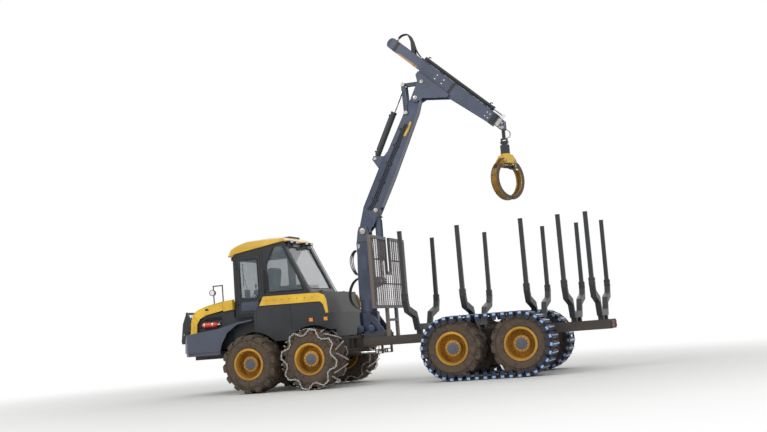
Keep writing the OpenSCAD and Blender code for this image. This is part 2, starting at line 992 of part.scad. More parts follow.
module cab_door() {
    y1 = -cab_half;
    y0 = -cab_half + cab_wall;
    color(crane_blue)
        difference() {
            union() {
                side_prism(
                    [
                        [cab_front_x + 96, 1836], [-2963, 1836], [-2866, 2014], [-2866, 3164],
                        [cab_front_x + 96, 3164]
                    ],
                    y1,
                    y0
                );
                for (z = door_hinge_z) {
                    plan_prism([
                        door_hinge + [2, 0],
                        door_hinge + [25, 23],
                        door_hinge + [63, 23],
                        door_hinge + [63, 14],
                        door_hinge + [31, 14],
                        door_hinge + [11, -6]
                    ], z - 24, z + 24);
                    translate([door_hinge[0], door_hinge[1], z - 24])
                        cylinder(h = 48, r = 13);
                }
            }
            side_prism(door_window, y1 - 30, y0 + 5);
            translate([door_hinge[0], door_hinge[1], 1900])
                cylinder(h = 1300, r = 7 + gap);
        }
}
door_window = [
    [cab_front_x + 170, 2180], [-3000, 2180], [-2930, 2240], [-2930, 3110],
    [cab_front_x + 170, 3110]
];

module door_glass() {
    color(glass_tint)
        side_prism(door_window, -cab_half + cab_wall / 2, -cab_half + cab_wall / 2 + pane_t);
}

// Steering cylinder; the rod's eye lies open between the rear frame's ears
steer_gland = 610;
steer_rod_in = 330;
module steer_barrel(side) {
    color(body_black)
        translate([steer_foot_x, side * rail_y, steer_z])
            difference() {
                union() {
                    translate([0, 0, -eye_half])
                        cylinder(h = 2 * eye_half, r = 44);
                    translate([0, 0, -eye_half - ear_gap - steer_ear_t])
                        cylinder(h = 2 * (eye_half + ear_gap + steer_ear_t), r = steer_pin_r);
                    intersection() {
                        x_bar(20, steer_gland, steer_barrel_r);
                        // The barrel's foot is flat between the ears
                        union() {
                            box([0, -100, -eye_half], [90, 100, eye_half]);
                            box([75, -100, -100], [steer_gland, 100, 100]);
                        }
                    }
                }
                x_bar(62, steer_gland + 10, steer_rod_r + gap);
            }
}

module steer_rod(side) {
    color(chrome)
        translate([steer_foot_x, side * rail_y, steer_z])
            union() {
                x_bar(steer_rod_in, steer_eye_x - steer_foot_x - 20, steer_rod_r);
                translate([steer_eye_x - steer_foot_x, 0, -eye_half])
                    cylinder(h = 2 * eye_half, r = 46);
            }
}

// Rear unit

rear_block_x = pivot_x + 210;
rear_rail_low = rear_rail_top - rear_rail_h;
base_plate_z = 1150;
module rear_frame() {
    color(body_dark)
        union() {
            both_sides() {
                box(
                    [rear_block_x, rail_y - rail_w / 2, rear_rail_low],
                    [tail_x, rail_y + rail_w / 2, rear_rail_top]
                );
                steer_ears(steer_eye_x, 125, rear_rail_low);
            }
            for (x = [700, 2010, 3410, 4210, tail_x - 80])
                box([x, -rail_y, rear_rail_low + 20], [x + 80, rail_y, rear_rail_top - 20]);
            // Front block that carries the crane and the pivot
            box([rear_block_x, -rail_y, rear_rail_low], [rear_block_x + 500, rail_y, base_plate_z]);
            box([pivot_x + 20, -160, pivot_low + ear_t + 2], [rear_block_x + 10, 160, pivot_high - 2]);
            translate([pivot_x, 0, pivot_low + ear_t + 2])
                cylinder(h = pivot_high - pivot_low - ear_t - 4, r = 160);
            translate([pivot_x, 0, pivot_low - 10])
                cylinder(h = pivot_high + ear_t + 20 - pivot_low, r = pivot_pin_r);
        }
}

module rear_bogies() {
    bogie_set(rear_bogie_x, rear_wheels, rear_rail_low);
}

// Bunks: place along the machine
bunk_x = [760, 2070, 3470, 4270, 4850];
bunk_t = 120;
stake_t = 90;
bunk_clear = tracked_r * 2 + 30;
module bunks() {
    color(body_dark)
        for (x = bunk_x)
            union() {
                both_sides()
                    front_prism([
                        [-1, rear_rail_top + 90],
                        [540, rear_rail_top + 90],
                        [680, bunk_clear],
                        [stake_y + 20, bunk_clear + 130],
                        [stake_y + 130, 1800],
                        [stake_y - 10, 1800],
                        [stake_y - 70, bunk_clear + 250],
                        [620, bunk_clear + 130],
                        [480, rear_rail_top + 230],
                        [-1, rear_rail_top + 230]
                    ], x - bunk_t / 2, x + bunk_t / 2);
                both_sides()
                    box(
                        [x - bunk_t / 2, rail_y - 60, rear_rail_top],
                        [x + bunk_t / 2, rail_y + 60, rear_rail_top + 95]
                    );
            }
}

module stakes() {
    color(body_black)
        for (x = bunk_x)
            both_sides()
                front_prism([
                    [stake_y + 5, 1800],
                    [stake_y + 115, 1800],
                    [stake_y + 130, stake_top],
                    [stake_y + 70, stake_top]
                ], x - stake_t / 2, x + stake_t / 2);
}

gate_low = 1700;
gate_bar = 70;
// Slot in the middle, where the lift cylinder leans through with the boom down
slot_low = 2550;
slot_half = 130;
slot_bar = 50;
module gate() {
    x0 = gate_x - gate_t / 2;
    x1 = gate_x + gate_t / 2;
    color(gate_grey)
        union() {
            difference() {
                union() {
                    difference() {
                        box([x0, -gate_half, gate_low], [x1, gate_half, gate_top]);
                        box([x0 - 5, -gate_half + gate_bar, gate_low + gate_bar],
                            [x1 + 5, gate_half - gate_bar, gate_top - gate_bar]);
                    }
                    for (i = [1:gate_bars])
                        let (y = -gate_half + 2 * gate_half * i / (gate_bars + 1))
                            box([gate_x - 10, y - 8, gate_low + 10], [gate_x + 10, y + 8, gate_top - 10]);
                    for (z = [2250, 2800])
                        box([x0 + 8, -gate_half + 10, z], [gate_x + 10, gate_half - 10, z + 30]);
                    box(
                        [x0, -slot_half - slot_bar, slot_low - gate_bar],
                        [x1, slot_half + slot_bar, slot_low + 10]
                    );
                    both_sides()
                        box([x0, slot_half - 10, slot_low - gate_bar], [x1, slot_half + slot_bar, gate_top]);
                }
                box([x0 - 5, -slot_half, slot_low], [x1 + 5, slot_half, gate_top + 5]);
            }
            both_sides()
                box([x0, rail_y - 60, rear_rail_top], [x1, rail_y + 60, gate_low + 10]);
            box([x0, -rail_y, 1400], [x1, rail_y, 1460]);
        }
}

slew_top = 1640;
module crane_base() {
    color(crane_blue)
        union() {
            plan_prism(
                [for (a = [22.5:45:359]) [column_x + 236 * cos(a), 236 * sin(a)]],
                base_plate_z,
                slew_top
            );
            box([column_x - 60, -300, base_plate_z], [column_x + 420, 300, base_plate_z + 50]);
            for (s = [-1, 1])
                y_bar([column_x + s * 130, base_plate_z + 118], 80, -330, 330);
            both_sides()
                side_prism([
                    [column_x + 20, slew_top - 60],
                    [column_x + 160, slew_top - 60],
                    [column_x + 420, base_plate_z + 40],
                    [column_x + 250, base_plate_z + 40]
                ], 190, 240);
        }
}

// Crane

column_half = 140;
column_ear = 40;
boom_half = 120;
boom_pin_r = 55;
foot_eye_r = 110;
knuckle_r = 40;
cyl_eye_half = 58;
module column() {
    color(crane_blue)
        difference() {
            union() {
                translate([column_x, 0, slew_top + gap])
                    cylinder(h = 300, r = 190);
                side_prism([
                    [column_x - 176, slew_top + 250],
                    [column_x + 176, slew_top + 250],
                    [column_x + 170, 2500],
                    [column_x + 150, 3330],
                    [column_x - 130, 3330],
                    [column_x - 170, 2500]
                ], -column_half, column_half);
                both_sides() {
                    side_prism([
                        [column_x - 130, 3300],
                        [column_x + 150, 3300],
                        [boom_pin[0] + 130, boom_pin_z],
                        [boom_pin[0] + 90, boom_pin_z + 110],
                        [boom_pin[0] - 90, boom_pin_z + 110],
                        [boom_pin[0] - 130, boom_pin_z]
                    ], boom_half + ear_gap, boom_half + ear_gap + column_ear);
                    // Ears for the lift cylinder's rod eye
                    side_prism([
                        [column_x + 150, lift_foot[1] - 170],
                        [lift_foot[0] + 30, lift_foot[1] - 70],
                        [lift_foot[0] + 70, lift_foot[1]],
                        [lift_foot[0] + 30, lift_foot[1] + 70],
                        [column_x + 150, lift_foot[1] + 130]
                    ], cyl_eye_half + ear_gap, cyl_eye_half + ear_gap + 35);
                }
            }
            y_bar(boom_pin, boom_pin_r + gap, -300, 300);
        }
}

module main_boom() {
    color(crane_blue)
        at_boom()
            difference() {
                union() {
                    side_prism([
                        [0, -foot_eye_r],
                        [250, -190],
                        [1400, -200],
                        [boom_len - 300, -150],
                        [boom_len, -100],
                        [boom_len, 100],
                        [boom_len - 250, 130],
                        [1960, 160],
                        [1800, 210],
                        [500, 210],
                        [0, foot_eye_r]
                    ], -boom_half, boom_half);
                    y_bar([0, 0], foot_eye_r, -boom_half, boom_half);
                    y_bar([boom_len, 0], 100, -boom_half, boom_half);
                    y_bar([0, 0], boom_pin_r, -boom_half - column_ear - 15, boom_half + column_ear + 15);
                    y_bar([boom_len, 0], knuckle_r, -jib_ear_y - jib_ear_t - 5, jib_ear_y + jib_ear_t + 5);
                    // Ears for the foot of the jib cylinder
                    both_sides()
                        side_prism(
                            [[1480, 190], [1640, 460], [1730, 460], [1830, 190]],
                            cyl_eye_half + ear_gap,
                            cyl_eye_half + ear_gap + 35
                        );
                }
                // Room for the lift cylinder between the boom's side plates
                side_prism([
                    [lift_top_local[0] + 120, lift_top_local[1] + 115],
                    [lift_top_local[0] - 110, lift_top_local[1] + 115],
                    [0, -150],
                    [-200, -215],
                    [-200, -500],
                    [lift_top_local[0] + 120, -500]
                ], -lift_barrel_r - 6, lift_barrel_r + 6);
                y_bar(lift_top_local, 40 + gap, -boom_half - 10, boom_half + 10);
                y_bar(turn(jib_cyl_foot - boom_pin, -boom_angle), 35 + gap, -boom_half, boom_half);
                y_bar(turn(rocker_pin - boom_pin, -boom_angle), 35 + gap, -boom_half - 100, boom_half + 100);
            }
}

lift_len = norm(lift_foot - lift_top);
lift_gland = 1150;
module lift_barrel() {
    color(crane_blue)
        along(lift_top, lift_foot)
            difference() {
                union() {
                    y_bar([0, 0], 90, -cyl_eye_half, cyl_eye_half);
                    y_bar([0, 0], 40, -boom_half - 5, boom_half + 5);
                    x_bar(50, lift_gland, lift_barrel_r);
                }
                x_bar(130, lift_gland + 10, lift_rod_r + gap);
            }
}

module lift_rod() {
    color(chrome)
        along(lift_top, lift_foot)
            union() {
                x_bar(lift_len - 1060, lift_len - 30, lift_rod_r);
                y_bar([lift_len, 0], 62, -cyl_eye_half, cyl_eye_half);
            }
}

jib_cyl_len = norm(link_pin - jib_cyl_foot);
jib_gland = 1180;
module jib_barrel() {
    color(body_black)
        along(jib_cyl_foot, link_pin)
            difference() {
                union() {
                    y_bar([0, 0], 60, -cyl_eye_half, cyl_eye_half);
                    y_bar([0, 0], 35, -cyl_eye_half - 40, cyl_eye_half + 40);
                    x_bar(40, 100, 50);
                    x_bar(92, jib_gland, jib_barrel_r);
                }
                x_bar(110, jib_gland + 10, jib_rod_r + gap);
            }
}

module jib_rod() {
    color(chrome)
        along(jib_cyl_foot, link_pin)
            union() {
                x_bar(jib_cyl_len - 1040, jib_cyl_len - 30, jib_rod_r);
                y_bar([jib_cyl_len, 0], 50, -cyl_eye_half, cyl_eye_half);
            }
}

// Rocker: a pair of arms beside the boom's head, up to the rod's eye
rocker_y = 122;
rocker_t = 26;
module rocker() {
    len = norm(link_pin - rocker_pin);
    color(crane_blue)
        along(rocker_pin, link_pin)
            union() {
                both_sides()
                    side_prism(
                        [[-50, -30], [0, -46], [len, -42], [len + 42, 0], [len, 42], [0, 46], [-50, 30]],
                        rocker_y,
                        rocker_y + rocker_t
                    );
                y_bar([0, 0], 35, -rocker_y - rocker_t - 2, rocker_y + rocker_t + 2);
            }
}

// Link: a pair of arms from the rod's eye to the jib's lever, inside the rocker's arms
link_y = 60;
link_t = 30;
module jib_link() {
    len = norm(link_pin - jib_lever);
    color(crane_blue)
        along(jib_lever, link_pin)
            union() {
                both_sides() {
                    side_prism([
                        [-44, -24],
                        [0, -45],
                        [70, -34],
                        [len - 70, -34],
                        [len, -42],
                        [len + 40, 0],
                        [len, 42],
                        [len - 70, 34],
                        [70, 34],
                        [0, 45],
                        [-44, 24]
                    ], link_y, link_y + link_t);
                    y_bar([len, 0], 40, link_y + link_t - 2, rocker_y - 1);
                }
                y_bar([0, 0], 35, -jib_ear_y - jib_ear_t - 5, jib_ear_y + jib_ear_t + 5);
            }
}

jib_half = 110;
jib_ear_y = 152;
jib_ear_t = 28;
jib_low = jib_rise - 190;
jib_high = jib_rise + 170;
jib_bore_low = jib_high - 236;
module jib() {
    color(crane_blue)
        at_jib()
            difference() {
                union() {
                    side_prism(
                        [
                            [-330, jib_low], [600, jib_low], [jib_reach, jib_bore_low - 24],
                            [jib_reach, jib_high], [-330, jib_high]
                        ],
                        -jib_half - 14,
                        jib_half + 14
                    );
                    side_prism(
                        [
                            [-jib_tail, jib_high - 250], [-320, jib_high - 250], [-320, jib_high],
                            [-jib_tail, jib_high]
                        ],
                        -jib_half,
                        jib_half
                    );
                    // Bracket plates that carry the knuckle pin and the link's pin
                    both_sides()
                        side_prism([
                            [-80, -70],
                            [0, -110],
                            [80, -70],
                            [150, 100],
                            [620, jib_low],
                            [620, jib_low + 80],
                            [-330, jib_low + 80],
                            [-330, jib_low - 20],
                            [-190, 320],
                            [-110, 30]
                        ], jib_ear_y, jib_ear_y + jib_ear_t);
                    // Cross plates join the brackets to the box
                    both_sides()
                        box([-330, jib_half, jib_low + 15], [620, jib_ear_y + 10, jib_low + 70]);
                }
                box(
                    [-jib_tail + 40, -jib_half + jib_wall, jib_bore_low],
                    [jib_reach + 10, jib_half - jib_wall, jib_high - 14]
                );
                y_bar([0, 0], knuckle_r + gap, -300, 300);
                y_bar(jib_lever_local, 35 + gap, -300, 300);
            }
}

// Extension cylinder on top of the jib
ext_z = jib_high + 60;
ext_rod_r = 26;
module ext_barrel() {
    color(body_black)
        at_jib()
            difference() {
                union() {
                    bar_in_jib(-420, 1640, 46);
                    for (x = [-400, 1560])
                        box([x, -50, jib_high], [x + 60, 50, ext_z]);
                }
                bar_in_jib(-360, 1660, ext_rod_r + gap);
            }
}

module ext_rod() {
    color(chrome)
        at_jib()
            union() {
                bar_in_jib(-340, jib_reach + 90, ext_rod_r);
                box([jib_reach + 60, -60, jib_high - 18], [jib_reach + 100, 60, ext_z + 40]);
            }
}

// Round bar along the jib at the extension cylinder's height
module bar_in_jib(x0, x1, r) {
    translate([0, 0, ext_z])
        x_bar(x0, x1, r);
}

tele_half = jib_half - jib_wall - 3;
tip_x = jib_reach + tele_out;
module telescope() {
    color(crane_blue)
        at_jib()
            difference() {
                union() {
                    box(
                        [-jib_tail + 60, -tele_half, jib_bore_low + 4],
                        [tip_x - 70, tele_half, jib_high - 18]
                    );
                    // Tip ears
                    side_prism([
                        [jib_reach + 30, jib_bore_low + 4],
                        [tip_x - 40, jib_rise - 66],
                        [tip_x + 50, jib_rise - 60],
                        [tip_x + 64, jib_rise + 20],
                        [tip_x - 60, jib_high - 18],
                        [jib_reach + 30, jib_high - 18]
                    ], -tele_half, tele_half);
                }
                box([tip_x - 130, -51, jib_rise - 120], [tip_x + 100, 51, jib_rise + 220]);
                y_bar([tip_x, jib_rise], 30 + gap, -200, 200);
            }
}

// Hanging link, rotator and grapple; they hang straight down from the tip pin
cross_z = tip_pin[1] - link_drop;
rotator_top = cross_z - 60;
rotator_low = rotator_top - 210;
cross_pin_r = 22;
module tip_link() {
    color(body_black)
        translate([tip_pin[0], 0, 0])
            difference() {
                union() {
                    y_bar([0, tip_pin[1]], 30, -tele_half - 10, tele_half + 10);
                    y_bar([0, tip_pin[1]], 50, -50, 50);
                    box([-35, -40, cross_z + 62], [35, 40, tip_pin[1] - 20]);
                    box([-75, -45, cross_z + 62], [75, 45, cross_z + 90]);
                    for (s = [-1, 1])
                        box([s * 60 - 15, -45, cross_z - 40], [s * 60 + 15, 45, cross_z + 64]);
                }
                translate([0, 0, cross_z])
                    x_bar(-90, 90, cross_pin_r + gap);
            }
}

module rotator() {
    color(body_black)
        translate([tip_pin[0], 0, 0])
            union() {
                translate([0, 0, rotator_low])
                    cylinder(h = 200, r = 105);
                box([-44, -40, rotator_top - 15], [44, 40, cross_z + 30]);
                translate([0, 0, cross_z])
                    x_bar(-82, 82, cross_pin_r);
            }
}

// The claws open in a plane turned away from the crane's plane
claw_turn = 60;
claw_hinge_z = rotator_low - 170;
claw_hinge_x = 150;
module at_grapple() {
    translate([tip_pin[0], 0, 0])
        rotate([0, 0, claw_turn])
            children();
}

head_half = 130;
module grapple_head() {
    color(yellow)
        at_grapple()
            difference() {
                union() {
                    translate([0, 0, rotator_low - 32])
                        cylinder(h = 32 - gap, r = 120);
                    box([-110, -head_half + 2, rotator_low - 90], [110, head_half - 2, rotator_low - 30]);
                    for (s = [-1, 1])
                        side_prism([
                            [-170, claw_hinge_z - 50],
                            [170, claw_hinge_z - 50],
                            [210, claw_hinge_z],
                            [170, claw_hinge_z + 50],
                            [100, rotator_low - 40],
                            [-100, rotator_low - 40],
                            [-170, claw_hinge_z + 50],
                            [-210, claw_hinge_z]
                        ], s * (head_half - 12) - 12, s * (head_half - 12) + 12);
                }
                for (s = [-1, 1])
                    y_bar([s * claw_hinge_x, claw_hinge_z], 30 + gap, -200, 200);
            }
}

// One claw: two curved plates and the web along their outer edge, drawn about the load's middle
function arc_points(c, r, a0, a1, n) = [
    for (i = [0:n])
        c + r * [cos(a0 + (a1 - a0) * i / n), sin(a0 + (a1 - a0) * i / n)]
];
claw_mid = [0, claw_hinge_z - 410];
claw_pin = [190, claw_hinge_z - 120];
claw_plate_y = 62;
claw_plate_t = 30;
claw_cyl_r = 38;
claw_rod_r = 20;
module claw(s) {
    scale([s, 1, 1])
        union() {
            both_sides() {
                side_prism(
                    concat(
                        arc_points(claw_mid, claw_r, 74, -89, 12),
                        arc_points(claw_mid, claw_r - claw_depth, -88.6, 66, 12)
                    ),
                    claw_plate_y,
                    claw_plate_y + claw_plate_t
                );
                // Lug for the cylinder's pin
                side_prism(
                    [
                        claw_pin + [-30, 34], claw_pin + [-44, 0], claw_pin + [-30, -34],
                        claw_pin + [20, -44], claw_pin + [120, -50], claw_pin + [60, 60]
                    ],
                    claw_plate_y,
                    claw_plate_y + claw_plate_t
                );
            }
            side_prism(
                concat(
                    arc_points(claw_mid, claw_r, 30, -89, 10),
                    arc_points(claw_mid, claw_r - 22, -89, 30, 10)
                ),
                -claw_plate_y - 2,
                claw_plate_y + 2
            );
            // Stub pins and bosses, open in the middle where the cylinder passes
            both_sides() {
                y_bar([claw_hinge_x, claw_hinge_z], 30, claw_cyl_r + 12, head_half + 8);
                y_bar([claw_hinge_x, claw_hinge_z], 55, claw_cyl_r + 14, claw_plate_y + claw_plate_t + 10);
            }
        }
}

module claw_a() {
    color(yellow)
        at_grapple()
            difference() {
                claw(1);
                y_bar(claw_pin, steer_pin_r + gap, -200, 200);
            }
}

module claw_b() {
    color(yellow)
        at_grapple()
            claw(-1);
}

// Grapple cylinder, level between the claws; its rod points to the other claw
claw_eye_half = 60;
module at_claw_pin() {
    at_grapple()
        translate([claw_pin[0], 0, claw_pin[1]])
            rotate([0, 0, 180])
                children();
}

module grapple_barrel() {
    color(body_black)
        at_claw_pin()
            difference() {
                union() {
                    y_bar([0, 0], 40, -claw_eye_half, claw_eye_half);
                    y_bar(
                        [0, 0],
                        steer_pin_r,
                        -claw_plate_y - claw_plate_t - 4,
                        claw_plate_y + claw_plate_t + 4
                    );
                    x_bar(20, 290, claw_cyl_r);
                }
                x_bar(45, 300, claw_rod_r + gap);
            }
}

module grapple_rod() {
    color(chrome)
        at_claw_pin()
            union() {
                x_bar(55, 2 * claw_pin[0] - 10, claw_rod_r);
                y_bar([2 * claw_pin[0], 0], 36, -claw_eye_half, claw_eye_half);
            }
}

front_frame();
front_bogies();
front_skirt();
front_guard();
engine();
engine_bay();
cab_frame();
cab_roof();
cab_glass();
cab_inside();
deck();
yellow_trim();
lamps();
hood();
hood_fittings();
cab_door();
door_glass();
place_wheel(front_wheel, -1) rim(-1);  // rim_front_left
place_wheel(front_wheel, 1) rim(1);  // rim_front_right
place_wheel(mid_wheel, -1) rim(-1);  // rim_mid_left
place_wheel(mid_wheel, 1) rim(1);  // rim_mid_right
place_wheel(front_wheel, -1) tyre(true);  // tyre_front_left
place_wheel(front_wheel, 1) tyre(true);  // tyre_front_right
place_wheel(mid_wheel, -1) tyre(true);  // tyre_mid_left
place_wheel(mid_wheel, 1) tyre(true);  // tyre_mid_right
place_wheel(mid_wheel, -1) tyre_chain();  // chain_left
place_wheel(mid_wheel, 1) tyre_chain();  // chain_right
steer_barrel(-1);  // steer_barrel_left
steer_barrel(1);  // steer_barrel_right
steer_rod(-1);  // steer_rod_left
steer_rod(1);  // steer_rod_right
rear_frame();
rear_bogies();
rear_rims();
rear_tyres();
track(-1);  // track_left
track(1);  // track_right
bunks();
stakes();
gate();
crane_base();
column();
main_boom();
lift_barrel();
lift_rod();
jib_barrel();
jib_rod();
rocker();
jib_link();
jib();
ext_barrel();
telescope();
ext_rod();
tip_link();
rotator();
grapple_head();
claw_a();
claw_b();
grapple_barrel();
grapple_rod();
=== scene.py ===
"""Forestry forwarder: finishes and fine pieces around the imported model.

Front is -X, the machine's left side -Y, ground z = 0, metres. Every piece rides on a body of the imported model.
"""

import math
import random

import bmesh
import bpy
from mathutils import Matrix, Vector


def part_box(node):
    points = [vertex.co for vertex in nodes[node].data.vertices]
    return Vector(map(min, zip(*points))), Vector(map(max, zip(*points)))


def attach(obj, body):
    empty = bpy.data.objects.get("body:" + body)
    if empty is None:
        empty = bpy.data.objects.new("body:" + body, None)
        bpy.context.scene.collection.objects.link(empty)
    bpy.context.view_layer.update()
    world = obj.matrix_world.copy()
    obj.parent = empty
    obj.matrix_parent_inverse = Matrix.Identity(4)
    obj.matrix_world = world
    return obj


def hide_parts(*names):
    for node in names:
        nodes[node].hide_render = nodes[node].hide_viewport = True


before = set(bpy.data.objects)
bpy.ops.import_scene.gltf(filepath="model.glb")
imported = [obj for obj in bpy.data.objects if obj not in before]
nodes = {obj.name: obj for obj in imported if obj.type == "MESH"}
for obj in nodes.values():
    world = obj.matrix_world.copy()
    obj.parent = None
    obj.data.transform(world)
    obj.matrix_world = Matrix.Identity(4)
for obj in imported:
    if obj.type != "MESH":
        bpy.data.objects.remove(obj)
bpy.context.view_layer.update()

# Driving dimensions, repeated from the part's source, in metres
WHEEL_Y = 1.125
TYRE_R = 0.670
TYRE_HALF = 0.355
RIM_R = 0.336
RIM_HALF = 0.310
HUB_FACE = 0.230
DISC_FACE = 0.020
CHAINED_R = 0.692
TRACKED_R = 0.700
BOGIE_PITCH = 1.5
FRONT_BOGIE_X = -2.28
FRONT_AXLE_X = FRONT_BOGIE_X - BOGIE_PITCH / 2
MID_AXLE_X = FRONT_BOGIE_X + BOGIE_PITCH / 2
REAR_BOGIE_X = 2.52
TRACK_HALF = 0.39
SHOE_COUNT = 40
BUNK_X = (0.76, 2.07, 3.47, 4.27, 4.85)
COLUMN_X = -0.53
BOOM_PIN = Vector((-0.49, 0, 3.54))
LIFT_TOP = BOOM_PIN + Vector((0.35, 0, 0.46))
LIFT_FOOT = BOOM_PIN + Vector((0.35, 0, -1.19))
BOOM_LEN = 3.35
BOOM_ANGLE = math.radians(62.5)
JIB_ANGLE = math.radians(-43)
JIB_REACH = 1.85
JIB_TAIL = 1.33
JIB_RISE = 0.64
TELE_OUT = 0.24
CAB_FRONT = -3.57
CAB_HALF = 0.85
DECK_TOP = 2.195
SIDES = (("left", -1), ("right", 1))

rng = random.Random(7)

# Frames of the crane: a point along and above the boom or the jib, at rest


def turned(x, z, angle):
    return Vector((x * math.cos(angle) - z * math.sin(angle), 0, x * math.sin(angle) + z * math.cos(angle)))


def on_boom(x, z, y=0.0):
    return BOOM_PIN + turned(x, z, BOOM_ANGLE) + Vector((0, y, 0))


KNUCKLE = on_boom(BOOM_LEN, 0)


def on_jib(x, z, y=0.0):
    return KNUCKLE + turned(x, z, JIB_ANGLE) + Vector((0, y, 0))


JIB_FRAME = Matrix.Translation(KNUCKLE) @ Matrix.Rotation(-JIB_ANGLE, 4, "Y")
TIP_PIN = on_jib(JIB_REACH + TELE_OUT, JIB_RISE)
CROSS_Z = TIP_PIN.z - 0.33
ROTATOR_LOW = CROSS_Z - 0.27
CLAW_HINGE_Z = ROTATOR_LOW - 0.17
CLAW_MID_Z = CLAW_HINGE_Z - 0.41
CLAW_TURN = math.radians(60)

# Materials


def linear(hex_colour):
    """An sRGB hex colour as the linear values that a shader socket takes."""
    channels = [int(hex_colour[i : i + 2], 16) / 255 for i in (1, 3, 5)]
    return [c / 12.92 if c <= 0.04045 else ((c + 0.055) / 1.055) ** 2.4 for c in channels] + [1.0]


def set_inputs(tree, node, inputs):
    """Sets inputs, by name or index: each takes a value or another node's output."""
    for name, value in inputs.items():
        if isinstance(value, bpy.types.NodeSocket):
            tree.links.new(value, node.inputs[name])
        else:
            node.inputs[name].default_value = value


def add_node(tree, kind, inputs=(), out=0, **settings):
    """Adds a shader node with its settings and inputs, and gives its output."""
    node = tree.nodes.new("ShaderNode" + kind)
    for name, value in settings.items():
        setattr(node, name, value)
    set_inputs(tree, node, dict(inputs))
    return node.outputs[out]


def new_material(name):
    """A material with its node tree, its shader and the place on the object as an output."""
    material = bpy.data.materials.new(name)
    material.use_nodes = True
    tree = material.node_tree
    shader = next(n for n in tree.nodes if n.type == "BSDF_PRINCIPLED")
    return material, tree, shader, add_node(tree, "TexCoord", out="Object")


WET_MUD = linear("#43352a")
DUST = linear("#918a7e")
# Settings that many nodes share
SMOOTH = {"interpolation_type": "SMOOTHSTEP"}
RGBA = {"data_type": "RGBA"}


def enamel(name, hex_colour, roughness, mud_top, mud, dust, scuff, wear, coat):
    """Two-pack enamel sprayed on steel: even and glossy, with scuffs to grey, dust on level faces and mud low down."""
    material, tree, shader, place = new_material(name)
    upward = add_node(tree, "SeparateXYZ", {0: add_node(tree, "NewGeometry", out="Normal")}, 2)
    height = add_node(tree, "SeparateXYZ", {0: place}, 2)
    cloudy = add_node(tree, "TexNoise", {"Vector": place, "Scale": 1.6, "Detail": 4.0, "Roughness": 0.6})
    speckle = add_node(tree, "TexNoise", {"Vector": place, "Scale": 22.0, "Detail": 8.0, "Roughness": 0.7})
    # Faded and darker patches a hand or two across
    base = linear(hex_colour)
    faded = [min(1, c * 1.22 + 0.006) for c in base[:3]] + [1]
    deep = [c * 0.76 for c in base[:3]] + [1]
    patches = add_node(tree, "MapRange", {0: cloudy, 1: 0.35, 2: 0.7}, **SMOOTH)
    colour = add_node(tree, "Mix", {0: patches, 6: deep, 7: faded}, 2, **RGBA)
    # Long scuffs where branches drag along the machine
    stretch = add_node(tree, "Mapping", {"Vector": place, "Scale": (1.5, 9.0, 26.0)})
    drag = add_node(tree, "TexNoise", {"Vector": stretch, "Scale": 2.2, "Detail": 6.0, "Roughness": 0.75})
    streaks = add_node(tree, "MapRange", {0: drag, 1: 0.62, 2: 0.72, 4: wear}, **SMOOTH)
    colour = add_node(tree, "Mix", {0: streaks, 6: colour, 7: linear(scuff)}, 2, **RGBA)
    # Edges rub bright: the normal turns sharply there
    edge = add_node(tree, "NewGeometry", out="Pointiness")
    rubbed = add_node(tree, "MapRange", {0: edge, 1: 0.53, 2: 0.60, 4: wear}, **SMOOTH)
    colour = add_node(tree, "Mix", {0: rubbed, 6: colour, 7: linear(scuff)}, 2, **RGBA)
    # Dust settles on faces that look up
    flat = add_node(tree, "MapRange", {0: upward, 1: 0.3, 2: 0.95, 4: dust}, **SMOOTH)
    grit = add_node(tree, "MapRange", {0: speckle, 1: 0.3, 2: 0.62}, **SMOOTH)
    level = add_node(tree, "Math", {0: flat, 1: grit}, operation="MULTIPLY")
    colour = add_node(tree, "Mix", {0: level, 6: colour, 7: DUST}, 2, **RGBA)
    # Splashed mud thins out with height
    ragged = add_node(tree, "Math", {0: speckle, 1: 1.3, 2: -0.65}, operation="MULTIPLY_ADD")
    reach = add_node(tree, "Math", {0: height, 1: ragged}, operation="ADD")
    splash = add_node(tree, "MapRange", {0: reach, 1: mud_top, 2: mud_top * 0.35, 4: mud}, **SMOOTH)
    earth = add_node(tree, "Mix", {0: cloudy, 6: linear("#6a5640"), 7: WET_MUD}, 2, **RGBA)
    colour = add_node(tree, "Mix", {0: splash, 6: colour, 7: earth}, 2, **RGBA)
    matt = add_node(tree, "Math", {0: splash, 1: level}, operation="MAXIMUM")
    rough = add_node(tree, "Math", {0: matt, 1: 0.45, 2: roughness}, operation="MULTIPLY_ADD", use_clamp=True)
    bump = add_node(tree, "Bump", {"Height": speckle, "Strength": 0.2, "Distance": 0.004})
    set_inputs(tree, shader, {"Base Color": colour, "Roughness": rough, "Normal": bump})
    set_inputs(tree, shader, {"Coat Weight": coat, "Coat Roughness": 0.25})
    return material


